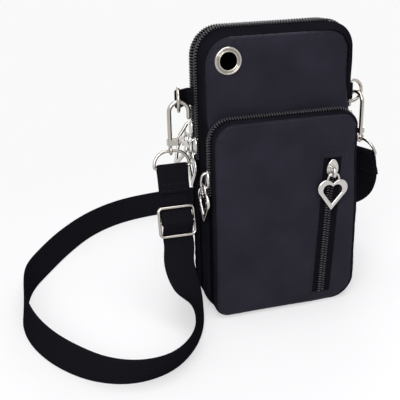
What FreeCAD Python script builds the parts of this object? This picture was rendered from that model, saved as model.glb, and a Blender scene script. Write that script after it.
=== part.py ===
import FreeCAD, Part
import math
import os

V = FreeCAD.Vector

# Frame: millimetres, +Z up, the front faces -Y, z = 0 is the table under the pouch.

# Pouch body
BODY_W = 96.0
BODY_H = 180.0
MAIN_DEPTH = 36.0
POCKET_DEPTH = 15.0
POCKET_DROP = 50.0
FRONT_DROP = 2.5
TOP_R = 18.0
BOTTOM_R = 9.0
POCKET_R = 14.0
PANEL_T = 1.5
RIM_T = 1.5
DIVIDER_T = 0.8
MIDDLE_BAND = 4.6
EDGE_INSET = 2.2
EDGE_DEPTH = 5.5
BEND_INSET = 0.8
BEND_DEPTH = 1.2

# Zips: two rows of teeth on the edges of two tapes
TAPE_T = 0.9
TAPE_SHOWN = 1.3
CHAIN_W = 4.4
CHAIN_T = 2.2
CHAIN_GAP = 0.8
SEAM_GAP = 0.2
TAPE_SINK = 0.3
MAIN_ZIP_END_Z = 98.0
POCKET_ZIP_DROP = 46.0

# Slanted slit zip in the pocket face
SLIT_FROM_SIDE = 17.8
SLIT_DROP = 27.0
SLIT_RUN = 5.2
SLIT_LOW_Z = 8.0
SLIT_W = 15.0
SLIT_LAP = 3.0
SLIT_BAG_DEPTH = 5.5
SLIT_BAG_WALL = 0.6
SLIT_BAG_REACH = 40.0
SLIT_BAG_MARGIN = 1.5
SLIT_BAG_END = 3.5

# Sliders and their heart pulls
SLIDER_W = 6.4
SLIDER_L = 11.0
SLIDER_PLATE = 1.0
SLIDER_GAP = 0.3
SLIDER_POST_T = 0.4
SLIDER_POST_L = 3.0
CROWN_W = 3.8
CROWN_H = 1.0
EAR_T = 1.1
EAR_GAP = 0.15
PIN_R = 0.7
PIN_FIT = 0.05
PIN_LIFT = 2.1
PIN_FROM_END = 2.0
REAR_SLIDER_Z = 117.0
FRONT_SLIDER_Z = 107.5
POCKET_SLIDER_DROP = 37.0
SLIT_SLIDER_DOWN = 8.0
HEART_LOBE_R = 5.6
HEART_LOBE_X = 4.7
HEART_TIP = 14.9
HEART_HANG = 9.1
HEART_T = 1.8
HEART_HOLE = 0.62
HEART_HOLE_DROP = 3.2
TONGUE_W = 2.6
REAR_PULL_TILT = 24.0

# Cable eyelet in the front panel
EYELET_FROM_SIDE = 14.2
EYELET_FROM_TOP = 13.1
EYELET_HOLE_R = 5.3
EYELET_WALL = 0.9
EYELET_FLANGE_R = 8.5
EYELET_FLANGE_T = 1.0
EYELET_FIT = 0.05
EYELET_ROUND = 0.7

# Side tabs and D-rings
TAB_T = 2.0
TAB_H = 11.0
TAB_WRAP = 1.0
LEFT_TAB_Z = 139.0
RIGHT_TAB_Z = 134.0
LEFT_TAB_OUT = 5.0
LEFT_RING_OUT = 11.6
LEFT_RING_Y = 11.6
LEFT_RING_TURN = 12.0
RIGHT_TAB_OUT = 4.6
RIGHT_RING_OUT = 10.6
RIGHT_RING_Y = 12.0
RING_WIRE_R = 1.1
RING_R = 7.2
RING_BOW_R = 7.0
RING_CORNER_R = 1.6
RING_FIT = 0.06

# Trigger hooks, each on a swivel eye
HOOK_WIRE_R = 1.4
HOOK_R = 6.25
HOOK_SPINE = 18.5
HOOK_NOSE = 4.0
HOOK_BASE_H = 3.8
HOOK_BASE_BACK = 2.0
HOOK_BASE_FRONT = 5.6
HOOK_BASE_T = 4.4
GATE_R = 1.1
GATE_ARM_R = 0.7
GATE_X = 3.7
GATE_Z = 2.0
GATE_END_X = 11.2
GATE_END_Z = 12.9
GATE_BOSS_R = 1.7
GATE_NECK = 4.6
GATE_T = 1.8
GATE_SIDE_GAP = 0.2
GATE_PIN_R = 0.6
GATE_FIT = 0.05
RIVET_HEAD_R = 1.1
RIVET_HEAD_T = 0.4
POST_R = 1.1
POST_FIT = 0.06
POST_IN = 2.9
EYE_R = 2.35
EYE_WIRE_R = 0.8
EYE_GAP = 0.25
LEFT_HOOK_IN_RING = 5.0
RIGHT_HOOK_IN_RING = 5.0
LEFT_HOOK_HANG = 27.8
RIGHT_HOOK_HANG = 28.0
RIGHT_HOOK_TURN = 104.5

# Strap and its rings
STRAP_W = 20.0
STRAP_T = 1.3
STRAP_RING_WIRE_R = 1.0
STRAP_RING_CORNER_R = 1.25
STRAP_RING_BOW_R = 9.0
STRAP_SIDE_GAP = 0.2
STRAP_RING_SLACK = 0.4
FOLD_GAP = 0.15
FOLD_L = 16.0
FOLD_MEET = 7.4
LAYER_GAP = 0.05
LEFT_STRAP_LEAN = -13.6
LEFT_STRAP_TURN = 0.0
RIGHT_STRAP_LEAN = 18.0
RIGHT_STRAP_TURN = -70.0

# Tri-glide on the hanging strap, measured down the strap from the ring's bar
GLIDE_DOWN = 34.8
GLIDE_W = 25.0
GLIDE_H = 20.6
GLIDE_WIRE_R = 1.0
GLIDE_CORNER_R = 2.6
GLIDE_GAP = 0.3
PASS_FLAT = 1.5
PASS_END = 16.0

# Strap route: where its middle passes, with the direction from its right edge to its left edge
DROP_ROUTE = [
    ((-70.2, -11.8, 38.5), (-1.0, 0.0, 0.1)),
    ((-71.0, -18.0, 29.0), (-0.95, 0.05, 0.3)),
    ((-69.5, -26.0, 20.5), (-0.75, 0.1, 0.65)),
    ((-68.5, -35.5, 14.5), (-0.4, 0.05, 0.9)),
    ((-70.0, -46.5, 11.2), (-0.1, -0.05, 1.0)),
]
# Where the strap's lower edge runs on the table
FLOOR_ROUTE = [
    (-74.5, -57.0), (-84.5, -68.0), (-97.0, -75.0), (-112.0, -77.5), (-128.0, -73.0),
    (-143.5, -61.0), (-157.0, -43.0), (-166.0, -18.0), (-168.0, 6.0), (-165.0, 32.0),
    (-157.0, 58.0), (-143.0, 80.0), (-123.0, 103.5), (-98.5, 133.0), (-73.5, 154.5),
    (-41.0, 166.0), (-6.0, 168.0), (26.0, 161.0), (50.0, 143.0), (63.0, 115.0),
]
FLOOR_LEAN = 10.0
ARC_SHARE = 0.45
FLOOR_GAP = 0.15
RISE_ROUTE = [
    ((67.5, 90.0, 15.5), (0.5, 0.15, 0.85)),
    ((70.5, 66.0, 26.0), (0.9, 0.2, 0.38)),
    ((72.3, 48.0, 37.0), (0.98, 0.0, -0.05)),
    ((73.4, 33.5, 49.0), (0.88, -0.3, -0.32)),
    ((73.8, 22.0, 60.0), (0.66, -0.62, -0.35)),
    ((73.4, 14.0, 69.0), (0.45, -0.88, -0.12)),
]

# Stations from the back to the front, worked out from the sizes above
ZIP_SEAM = CHAIN_W / 2 + TAPE_SHOWN
REAR_Y = (MAIN_DEPTH + POCKET_DEPTH) / 2
BACK_SEAM_Y = REAR_Y - PANEL_T
REAR_ZIP_Y = BACK_SEAM_Y - ZIP_SEAM
FRONT_ZIP_Y = REAR_ZIP_Y - CHAIN_W - MIDDLE_BAND
DIVIDER_Y = (REAR_ZIP_Y + FRONT_ZIP_Y) / 2
RIM_SEAM_Y = FRONT_ZIP_Y - ZIP_SEAM
FRONT_Y = REAR_Y - MAIN_DEPTH
FRONT_SEAM_Y = FRONT_Y + PANEL_T
POCKET_ZIP_Y = FRONT_Y - ZIP_SEAM
POCKET_SEAM_Y = POCKET_ZIP_Y - ZIP_SEAM
FACE_Y = FRONT_Y - POCKET_DEPTH
FACE_BACK_Y = FACE_Y + PANEL_T
SIDE_X = BODY_W / 2
EYELET_X = EYELET_FROM_SIDE - SIDE_X
EYELET_Z = BODY_H - FRONT_DROP - EYELET_FROM_TOP
POCKET_H = BODY_H - POCKET_DROP
POCKET_ZIP_END_Z = POCKET_H - POCKET_ZIP_DROP
POCKET_SLIDER_Z = POCKET_H - POCKET_SLIDER_DROP

# Depths under the outer surface
TAPE_IN = TAPE_SINK + TAPE_T
CHAIN_OUT = TAPE_SINK + TAPE_T / 2 - CHAIN_T / 2
CHAIN_IN = CHAIN_OUT + CHAIN_T

# Slit zip line
SLIT_TOP_X = SIDE_X - SLIT_FROM_SIDE
SLIT_LOW_X = SLIT_TOP_X - SLIT_RUN
SLIT_TOP_Z = POCKET_H - SLIT_DROP
SLIT_RISE = SLIT_TOP_Z - SLIT_LOW_Z
SLIT_L = math.hypot(SLIT_RISE, SLIT_RUN)
SLIT_ANGLE = math.degrees(math.atan2(SLIT_RUN, SLIT_RISE))
SLIT_X = (SLIT_TOP_X + SLIT_LOW_X) / 2
SLIT_Z = (SLIT_TOP_Z + SLIT_LOW_Z) / 2
SLIT_CHAIN_Y = FACE_BACK_Y + TAPE_T / 2 - CHAIN_T / 2

# Strap ring and tri-glide lines
STRAP_RING_R = STRAP_W / 2 + STRAP_SIDE_GAP + STRAP_RING_CORNER_R
STRAP_RING_DEPTH = STRAP_RING_BOW_R + STRAP_RING_CORNER_R
GLIDE_REACH = GLIDE_H / 2 - GLIDE_WIRE_R
FOLD_IN_R = STRAP_RING_WIRE_R + FOLD_GAP
FOLD_OUT_R = FOLD_IN_R + STRAP_T


def unit(v):
    """The vector at length 1."""
    return V(v) / V(v).Length


def placed(shape, origin, across, up):
    """Moves a shape drawn with X across, Z up and -Y outwards to its place in the pouch."""
    x = unit(across)
    z = unit(up)
    y = z.cross(x)
    place = FreeCAD.Placement(FreeCAD.Matrix(
        x.x, y.x, z.x, origin.x,
        x.y, y.y, z.y, origin.y,
        x.z, y.z, z.z, origin.z,
        0, 0, 0, 1))
    moved = shape.copy()
    moved.Placement = place.multiply(shape.Placement)
    return moved


def block(x0, x1, y0, y1, z0, z1):
    """A box between two corners, given in either order along each axis."""
    lo = V(min(x0, x1), min(y0, y1), min(z0, z1))
    return Part.makeBox(abs(x1 - x0), abs(y1 - y0), abs(z1 - z0), lo)


def rod(start, end, radius):
    """A round bar between two points."""
    return Part.makeCylinder(radius, (end - start).Length, start, end - start)


def joined(shapes):
    """Several overlapping solids as one, without seams on shared faces."""
    return shapes[0].multiFuse(shapes[1:]).removeSplitter()


def outline(y, inset, height, r_top):
    """The pouch's front outline at one depth: a rounded rectangle on the table, drawn in by inset."""
    half = SIDE_X - inset
    low = inset
    high = height - inset
    r_low = BOTTOM_R - inset
    r_high = r_top - inset
    lean = math.sqrt(0.5)

    def corner(cx, cz, r, sx, sz, first):
        along = V(cx + sx * r, y, cz)
        upright = V(cx, y, cz + sz * r)
        middle = V(cx + sx * r * lean, y, cz + sz * r * lean)
        ends = (along, upright) if first else (upright, along)
        return Part.Arc(ends[0], middle, ends[1])

    arcs = [
        corner(half - r_low, low + r_low, r_low, 1, -1, False),
        corner(half - r_high, high - r_high, r_high, 1, 1, True),
        corner(-half + r_high, high - r_high, r_high, -1, 1, False),
        corner(-half + r_low, low + r_low, r_low, -1, -1, True),
    ]
    edges = []
    for here, there in zip(arcs, arcs[1:] + arcs[:1]):
        edges.append(here.toShape())
        edges.append(Part.LineSegment(here.EndPoint, there.StartPoint).toShape())
    return Part.Wire(edges)


def slab(y0, y1, inset, height=BODY_H, r_top=TOP_R):
    """A flat panel with the pouch's outline between two depths."""
    return Part.Face(outline(y0, inset, height, r_top)).extrude(V(0, y1 - y0, 0))


def ring_band(y0, y1, outer, inner, height=BODY_H, r_top=TOP_R):
    """A strip that runs all round the outline, from one depth under the surface to another."""
    return slab(y0, y1, outer, height, r_top).cut(slab(y0, y1, inner, height, r_top))


def above(z, y0, y1):
    """All the room above a height, between two depths."""
    return block(-BODY_W, BODY_W, y0, y1, z, 2 * BODY_H)


def zip_tape(seam_y, zip_y, end_z, height=BODY_H, r_top=TOP_R):
    """Tape from its seam to the teeth; under the zip's end it closes up to the other tape."""
    side = math.copysign(1, seam_y - zip_y)
    tape = ring_band(seam_y, zip_y + side * SEAM_GAP / 2, TAPE_SINK, TAPE_IN, height, r_top)
    return tape.cut(above(end_z, zip_y, zip_y + side * CHAIN_W / 2))


def zip_teeth(zip_y, side, end_z, height=BODY_H, r_top=TOP_R):
    """One row of teeth, from the zip's end on one side over the top to its end on the other."""
    near = zip_y + side * CHAIN_GAP / 2
    far = zip_y + side * CHAIN_W / 2
    row = ring_band(near, far, CHAIN_OUT, CHAIN_IN, height, r_top)
    return row.common(above(end_z, near, far))


def middle_gusset():
    """The band between the two main zips; under the zips' ends it closes up to both tapes."""
    gap = SEAM_GAP / 2
    band = ring_band(REAR_ZIP_Y - gap, FRONT_ZIP_Y + gap, 0, RIM_T)
    band = band.cut(above(MAIN_ZIP_END_Z, REAR_ZIP_Y, REAR_ZIP_Y - CHAIN_W / 2))
    return band.cut(above(MAIN_ZIP_END_Z, FRONT_ZIP_Y, FRONT_ZIP_Y + CHAIN_W / 2))


def front_rim():
    """The front gusset, whose top falls a little towards the front panel."""
    front_h = BODY_H - FRONT_DROP

    def tube(inset):
        back = outline(RIM_SEAM_Y, inset, BODY_H, TOP_R)
        front = outline(FRONT_SEAM_Y, inset, front_h, TOP_R)
        return Part.makeLoft([back, front], True, True)

    return tube(0).cut(tube(RIM_T))


def front_panel():
    """The panel behind the pocket, with a hole for the cable eyelet."""
    panel = slab(FRONT_SEAM_Y, FRONT_Y, 0, BODY_H - FRONT_DROP)
    hole_r = EYELET_HOLE_R + EYELET_WALL + EYELET_FIT
    back = V(EYELET_X, FRONT_SEAM_Y, EYELET_Z)
    return panel.cut(rod(back, V(EYELET_X, FRONT_Y, EYELET_Z), hole_r))


def eyelet():
    """A flanged tube through the front panel, its flange on the front."""
    back = V(EYELET_X, FRONT_SEAM_Y + EYELET_FLANGE_T, EYELET_Z)
    face = V(EYELET_X, FRONT_Y, EYELET_Z)
    front = V(EYELET_X, FRONT_Y - EYELET_FLANGE_T, EYELET_Z)
    tube = rod(back, front, EYELET_HOLE_R + EYELET_WALL)
    flange = rod(face, front, EYELET_FLANGE_R)
    rim = [e for e in flange.Edges if abs(e.BoundBox.YMin - front.y) < 1e-6 and len(e.Vertexes) == 1]
    flange = flange.makeFillet(EYELET_ROUND, rim)
    return joined([tube, flange]).cut(rod(back, front, EYELET_HOLE_R))


def eyelet_washer():
    """The flat washer on the eyelet's tube behind the front panel."""
    front = V(EYELET_X, FRONT_SEAM_Y, EYELET_Z)
    back = V(EYELET_X, FRONT_SEAM_Y + EYELET_FLANGE_T, EYELET_Z)
    hole_r = EYELET_HOLE_R + EYELET_WALL + EYELET_FIT
    return rod(front, back, EYELET_FLANGE_R).cut(rod(front, back, hole_r))


def in_slit(shape, y, up=0.0):
    """Moves a shape drawn about the slit's middle to the slanted slit at a depth."""
    angle = math.radians(SLIT_ANGLE)
    rise = V(math.sin(angle), 0, math.cos(angle))
    across = V(math.cos(angle), 0, -math.sin(angle))
    return placed(shape, V(SLIT_X, y, SLIT_Z) + rise * up, across, rise)


def pocket_face():
    """The pocket's rim and soft-edged face in one, with the slanted slit cut through the face."""
    edge_y = FACE_Y + EDGE_DEPTH
    bend_y = FACE_Y + BEND_DEPTH
    stations = [(POCKET_SEAM_Y, 0), (edge_y, 0), (bend_y, BEND_INSET), (FACE_Y, EDGE_INSET)]
    wires = [outline(y, inset, POCKET_H, POCKET_R) for y, inset in stations]
    room = slab(POCKET_SEAM_Y, FACE_BACK_Y, RIM_T, POCKET_H, POCKET_R)
    shell = Part.makeLoft(wires, True, True).cut(room)
    slit = block(-SLIT_W / 2, SLIT_W / 2, -PANEL_T, PANEL_T, -SLIT_L / 2, SLIT_L / 2)
    return shell.cut(in_slit(slit, (FACE_Y + FACE_BACK_Y) / 2))


def slit_tape(side):
    """One tape of the slit zip, behind the pocket face."""
    half = SLIT_L / 2 + SLIT_BAG_MARGIN
    tape = block(side * CHAIN_W / 2, side * (SLIT_W / 2 + SLIT_LAP), 0, TAPE_T, -half, half)
    return in_slit(tape, FACE_BACK_Y)


def slit_teeth(side):
    """One row of the slit zip's teeth, on the edge of its tape."""
    row = block(side * CHAIN_GAP / 2, side * CHAIN_W / 2, 0, CHAIN_T, -SLIT_L / 2, SLIT_L / 2)
    return in_slit(row, SLIT_CHAIN_Y)


def slit_bag():
    """The flat bag behind the slit: a shallow tray that the pocket face closes."""
    right = SLIT_TOP_X + SLIT_W / 2 + SLIT_LAP + SLIT_BAG_MARGIN
    left = SLIT_LOW_X - SLIT_W / 2 - SLIT_BAG_REACH
    low = SLIT_LOW_Z - SLIT_BAG_END
    high = SLIT_TOP_Z + SLIT_BAG_END + SLIT_BAG_MARGIN
    back = FACE_BACK_Y + SLIT_BAG_DEPTH
    w = SLIT_BAG_WALL
    outer = block(left, right, FACE_BACK_Y, back, low, high)
    return outer.cut(block(left + w, right - w, FACE_BACK_Y, back - w, low + w, high - w))


def upright_edges(plate):
    """The four short edges of a slider's plate that run through its thickness."""
    return [e for e in plate.Edges if e.BoundBox.YLength > SLIDER_PLATE / 2]


def slider():
    """A zip slider: two plates and a post between the rows, a crown, and two ears with the pull's pin.

    X runs across the zip, Z along it, and y = 0 is the teeth's outer face with -Y outwards.
    """
    half = SLIDER_W / 2
    end = SLIDER_L / 2
    top = -SLIDER_GAP
    crown = top - SLIDER_PLATE
    under = CHAIN_T + SLIDER_GAP
    pin_y = crown - PIN_LIFT
    pin_z = PIN_FROM_END - end
    plates = [
        block(-half, half, top, crown, -end, end),
        block(-half, half, under, under + SLIDER_PLATE, -end, end),
    ]
    round_r = SLIDER_W / 4
    plates = [p.makeFillet(round_r, upright_edges(p)) for p in plates]
    post = block(-SLIDER_POST_T / 2, SLIDER_POST_T / 2, top - SLIDER_PLATE / 2, under + SLIDER_PLATE / 2,
                 end - SLIDER_POST_L, end - SLIDER_PLATE / 2)
    low = pin_z + HEART_T + PIN_R
    back = block(-CROWN_W / 2, CROWN_W / 2, top, crown - CROWN_H, low, end - SLIDER_PLATE)
    ears = []
    for side in (-1, 1):
        inner = side * (TONGUE_W / 2 + EAR_GAP)
        outer = inner + side * EAR_T
        ears.append(block(inner, outer, top, pin_y, pin_z - 2 * PIN_R, pin_z + 2 * PIN_R))
        ears.append(rod(V(inner, pin_y, pin_z), V(outer, pin_y, pin_z), 2 * PIN_R))
    reach = TONGUE_W / 2 + EAR_GAP + EAR_T
    pin = rod(V(-reach, pin_y, pin_z), V(reach, pin_y, pin_z), PIN_R)
    return joined(plates + [post, back, pin] + ears)


def heart_wire(scale, drop):
    """A heart about its lobes' level: two lobe arcs and two straight sides to the tip."""
    cx = HEART_LOBE_X
    r = HEART_LOBE_R
    reach = math.hypot(cx, HEART_TIP)
    start = math.atan2(-HEART_TIP, -cx) + math.acos(r / reach)
    notch_z = math.sqrt(r * r - cx * cx)
    stop = math.atan2(notch_z, -cx)

    def at(x, z):
        return V(x * scale, 0, (z + drop) * scale - drop)

    def lobe(angle, side):
        return at(side * (cx + r * math.cos(angle)), r * math.sin(angle))

    tip = at(0, -HEART_TIP)
    notch = at(0, notch_z)
    middle = (start + stop) / 2
    edges = [
        Part.LineSegment(tip, lobe(start, 1)),
        Part.Arc(lobe(start, 1), lobe(middle, 1), notch),
        Part.Arc(notch, lobe(middle, -1), lobe(start, -1)),
        Part.LineSegment(lobe(start, -1), tip),
    ]
    return Part.Wire([e.toShape() for e in edges])


def pull(tilt=0.0):
    """An open heart that hangs by a tongue from its slider's pin, which runs along X through the origin."""
    drop = V(0, -HEART_T / 2, -HEART_HANG)

    def plate(scale):
        solid = Part.Face(heart_wire(scale, HEART_HOLE_DROP)).extrude(V(0, HEART_T, 0))
        solid.translate(drop)
        return solid

    tongue_low = math.sqrt(HEART_LOBE_R ** 2 - HEART_LOBE_X ** 2) - HEART_HANG - HEART_T / 2
    half = TONGUE_W / 2
    tongue = block(-half, half, -HEART_T / 2, HEART_T / 2, tongue_low, 0)
    knuckle = rod(V(-half, 0, 0), V(half, 0, 0), HEART_T / 2 + PIN_R)
    hole = rod(V(-half, 0, 0), V(half, 0, 0), PIN_R + PIN_FIT)
    heart = joined([plate(1.0).cut(plate(HEART_HOLE)), tongue, knuckle]).cut(hole)
    heart.rotate(V(0, 0, 0), V(1, 0, 0), -tilt)
    return heart


def on_left_side(shape, y, z):
    """Moves a shape drawn on a zip's outer face to the pouch's left side."""
    return placed(shape, V(-SIDE_X + CHAIN_OUT, y, z), V(0, -1, 0), V(0, 0, 1))


def pin_place():
    """Where a slider's pin lies from the slider's middle: y outwards, z along the zip."""
    return V(0, -SLIDER_GAP - SLIDER_PLATE - PIN_LIFT, PIN_FROM_END - SLIDER_L / 2)


def hung(shape):
    """A pull moved from the origin to its slider's pin."""
    moved = shape.copy()
    moved.translate(pin_place())
    return moved


def pipe(edges, radius):
    """A round wire along joined lines and tangent arcs."""
    path = Part.Wire(edges)
    first = edges[0]
    start = first.valueAt(first.FirstParameter)
    along = first.tangentAt(first.FirstParameter)
    ring = Part.Wire([Part.Circle(start, along, radius).toShape()])
    return path.makePipeShell([ring], True, False)


def d_shape(radius, corner, bow):
    """A closed D in the XZ plane: a bar along Z through the origin, and a bow towards +X.

    The bow is two quarter arcs with a straight between them.
    """
    lean = math.sqrt(0.5)
    inset = corner * (1 - lean)
    straight = radius - corner
    level = radius - bow
    top = corner + bow
    shoulder = corner + bow * lean
    edges = [
        Part.LineSegment(V(0, 0, -straight), V(0, 0, straight)),
        Part.Arc(V(0, 0, straight), V(inset, 0, straight + corner * lean), V(corner, 0, radius)),
        Part.Arc(V(corner, 0, radius), V(shoulder, 0, level + bow * lean), V(top, 0, level)),
        Part.LineSegment(V(top, 0, level), V(top, 0, -level)),
        Part.Arc(V(top, 0, -level), V(shoulder, 0, -level - bow * lean), V(corner, 0, -radius)),
        Part.Arc(V(corner, 0, -radius), V(inset, 0, -straight - corner * lean), V(0, 0, -straight)),
    ]
    return [e.toShape() for e in edges]


def tab(side, out, ring_out, ring_y, z):
    """A folded webbing tab from the middle gusset to its D-ring, whose bar runs in its loop."""
    root = V(side * SIDE_X, DIVIDER_Y, z)
    bend = V(side * (SIDE_X + out), DIVIDER_Y, z)
    end = V(side * (SIDE_X + ring_out), ring_y, z)
    half = V(0, 0, TAB_H / 2)
    run = block(root.x, bend.x, DIVIDER_Y - TAB_T / 2, DIVIDER_Y + TAB_T / 2, z - TAB_H / 2, z + TAB_H / 2)
    slant = block(-TAB_T / 2, TAB_T / 2, 0, (end - bend).Length, -TAB_H / 2, TAB_H / 2)
    along = unit(end - bend)
    slant = placed(slant, bend, along.cross(V(0, 0, 1)), V(0, 0, 1))
    hole_r = RING_WIRE_R + RING_FIT
    elbow = rod(bend - half, bend + half, TAB_T / 2)
    wrap = rod(end - half, end + half, hole_r + TAB_WRAP)
    return joined([run, slant, elbow, wrap]).cut(rod(end - half, end + half, hole_r))


def d_ring(side, ring_out, ring_y, z, bow):
    """A D-ring with its bar in the tab's loop and its bow towards the given direction."""
    ring = pipe(d_shape(RING_R, RING_CORNER_R, RING_BOW_R), RING_WIRE_R)
    return placed(ring, V(side * (SIDE_X + ring_out), ring_y, z), bow, V(0, 0, 1))


def hook_foot(side, ring_out, ring_y, z, bow, plane, in_ring, hang):
    """Where a hook's swivel axis meets its base: its bend goes round the lower limb of the D-ring."""
    ring = V(side * (SIDE_X + ring_out), ring_y, z)
    limb = ring + unit(bow) * in_ring
    return limb - unit(plane) * HOOK_R - V(0, 0, hang)


def hook_frame():
    """A bent wire hook on a base with two lugs for the gate and a bore for the swivel's post."""
    lean = math.sqrt(0.5)
    top = HOOK_BASE_H + HOOK_SPINE - HOOK_WIRE_R
    start = HOOK_BASE_H - HOOK_WIRE_R
    nose = 2 * HOOK_R
    wire = pipe([e.toShape() for e in (
        Part.LineSegment(V(0, 0, start), V(0, 0, top)),
        Part.Arc(V(0, 0, top), V(HOOK_R * (1 - lean), 0, top + HOOK_R * lean), V(HOOK_R, 0, top + HOOK_R)),
        Part.Arc(V(HOOK_R, 0, top + HOOK_R), V(HOOK_R * (1 + lean), 0, top + HOOK_R * lean), V(nose, 0, top)),
        Part.LineSegment(V(nose, 0, top), V(nose, 0, top - HOOK_NOSE)),
    )], HOOK_WIRE_R)
    tip = V(nose, 0, top - HOOK_NOSE)
    half = HOOK_BASE_T / 2
    base = block(-HOOK_BASE_BACK, HOOK_BASE_FRONT, -half, half, 0, HOOK_BASE_H)
    base = base.makeFillet(HOOK_BASE_T / 4, [e for e in base.Edges if e.BoundBox.ZLength > HOOK_BASE_H / 2])
    slot_half = GATE_T / 2 + GATE_SIDE_GAP
    slot_x = GATE_X - GATE_BOSS_R - GATE_SIDE_GAP
    solid = joined([wire, base, Part.makeSphere(HOOK_WIRE_R, tip)])
    solid = solid.cut(block(slot_x, HOOK_BASE_FRONT, -slot_half, slot_half, 0, HOOK_BASE_H))
    solid = solid.cut(rod(V(GATE_X, -half, GATE_Z), V(GATE_X, half, GATE_Z), GATE_PIN_R + GATE_FIT))
    return solid.cut(rod(V(0, 0, 0), V(0, 0, POST_IN + POST_FIT), POST_R + POST_FIT))


def hook_gate():
    """A round gate from its pin in the lugs up to the hook's nose."""
    half = GATE_T / 2
    pin = V(GATE_X, 0, GATE_Z)
    end = V(GATE_END_X, 0, GATE_END_Z)
    boss = rod(V(GATE_X, -half, GATE_Z), V(GATE_X, half, GATE_Z), GATE_BOSS_R)
    hole = rod(V(GATE_X, -half, GATE_Z), V(GATE_X, half, GATE_Z), GATE_PIN_R + GATE_FIT)
    arm = rod(pin, end, GATE_ARM_R)
    thick = rod(pin + unit(end - pin) * GATE_NECK, end, GATE_R)
    return joined([boss, arm, thick]).cut(hole)


def gate_pin():
    """The rivet through the lugs and the gate, with a head on each side."""
    half = HOOK_BASE_T / 2
    parts = [rod(V(GATE_X, -half, GATE_Z), V(GATE_X, half, GATE_Z), GATE_PIN_R)]
    for side in (-1, 1):
        inner = V(GATE_X, side * half, GATE_Z)
        parts.append(rod(inner, inner + V(0, side * RIVET_HEAD_T, 0), RIVET_HEAD_R))
    return joined(parts)


def swivel_eye(hook_x, eye_axis, foot):
    """A ring with a post that turns in the hook's base; its hole faces along the strap ring's bow."""
    centre = V(0, 0, -EYE_GAP - EYE_R - EYE_WIRE_R)
    axis = V(unit(eye_axis).dot(unit(hook_x)), unit(eye_axis).dot(V(0, 0, 1).cross(unit(hook_x))), 0)
    eye = Part.makeTorus(EYE_R, EYE_WIRE_R, centre, axis)
    post = rod(centre + V(0, 0, EYE_R), V(0, 0, POST_IN), POST_R)
    return placed(joined([eye, post]), foot, hook_x, V(0, 0, 1))


def strap_frame(foot, turn, lean):
    """Where a strap end hangs: the middle of the ring's bar, the way along the bar, and the way up."""
    angle = math.radians(turn)
    across = V(math.cos(angle), math.sin(angle), 0)
    level = V(0, 0, 1).cross(across)
    up = V(0, 0, math.cos(math.radians(lean))) + level * -math.sin(math.radians(lean))
    eye = foot - V(0, 0, EYE_GAP + EYE_R + EYE_WIRE_R)
    bar = eye - V(0, 0, STRAP_RING_SLACK) - up * STRAP_RING_DEPTH
    return bar, across, up


def strap_ring(place):
    """A wire D whose bar carries the strap's end and whose bow hangs in the swivel eye."""
    bar, across, up = place
    ring = pipe(d_shape(STRAP_RING_R, STRAP_RING_CORNER_R, STRAP_RING_BOW_R), STRAP_RING_WIRE_R)
    ring.rotate(V(0, 0, 0), V(0, 1, 0), -90)
    return placed(ring, bar, across, up)


def webbing(profile, place):
    """Webbing drawn as an edge-on face in the YZ plane, as wide as the strap, hung in its place."""
    face = Part.Face(profile)
    solid = face.extrude(V(STRAP_W, 0, 0))
    solid.translate(V(-STRAP_W / 2, 0, 0))
    return placed(solid, *place)


def ribbon_profile(points):
    """A closed edge-on outline of one layer of webbing along points (out, down)."""
    half = STRAP_T / 2
    front = [V(0, -out - half, -down) for out, down in points]
    back = [V(0, -out + half, -down) for out, down in points]
    return Part.makePolygon(front + back[::-1] + front[:1])


def strap_loop(place):
    """A strap end folded round a strap ring's bar: two layers that meet under the bar."""
    t = STRAP_T
    r = FOLD_OUT_R
    meet = FOLD_MEET
    outer = Part.Wire([e.toShape() for e in (
        Part.Arc(V(0, -r, 0), V(0, 0, r), V(0, r, 0)),
        Part.LineSegment(V(0, r, 0), V(0, t, -meet)),
        Part.LineSegment(V(0, t, -meet), V(0, t, -FOLD_L)),
        Part.LineSegment(V(0, t, -FOLD_L), V(0, -t, -FOLD_L)),
        Part.LineSegment(V(0, -t, -FOLD_L), V(0, -t, -meet)),
        Part.LineSegment(V(0, -t, -meet), V(0, -r, 0)),
    )])
    r = FOLD_IN_R
    inner = Part.Wire([e.toShape() for e in (
        Part.Arc(V(0, -r, 0), V(0, 0, r), V(0, r, 0)),
        Part.LineSegment(V(0, r, 0), V(0, 0, -meet)),
        Part.LineSegment(V(0, 0, -meet), V(0, -r, 0)),
    )])
    return webbing(outer, place).cut(webbing(inner, place))


def pass_points():
    """The strap's way through the tri-glide: behind its top bar, over the middle, behind the bottom bar."""
    behind = -(GLIDE_WIRE_R + GLIDE_GAP + STRAP_T / 2)
    over = FOLD_OUT_R + FOLD_GAP + STRAP_T / 2
    points = [(STRAP_T / 2, FOLD_L)]
    for down, out in ((-GLIDE_REACH, behind), (0, over), (GLIDE_REACH, behind)):
        points.append((out, GLIDE_DOWN + down - PASS_FLAT))
        points.append((out, GLIDE_DOWN + down + PASS_FLAT))
    points.append((0, GLIDE_DOWN + PASS_END))
    return points


def sewn_tail(place):
    """The strap's other end: down behind the pass, round the tri-glide's middle bar."""
    first, behind = pass_points()[:2]
    layer = STRAP_T + LAYER_GAP
    fold_r = GLIDE_WIRE_R + FOLD_GAP
    side = -(fold_r + STRAP_T / 2)
    points = [(first[0] - layer, FOLD_L), (behind[0] - layer, behind[1]),
              (behind[0] - layer, behind[1] + 2 * PASS_FLAT), (side, GLIDE_DOWN - PASS_FLAT),
              (side, GLIDE_DOWN)]
    leg = webbing(ribbon_profile(points), place)
    half = V(STRAP_W / 2, 0, 0)
    middle = V(0, 0, -GLIDE_DOWN)
    wrap = placed(rod(middle - half, middle + half, fold_r + STRAP_T), *place)
    hole = placed(rod(middle - half, middle + half, fold_r), *place)
    return joined([leg, wrap]).cut(hole)


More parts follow.
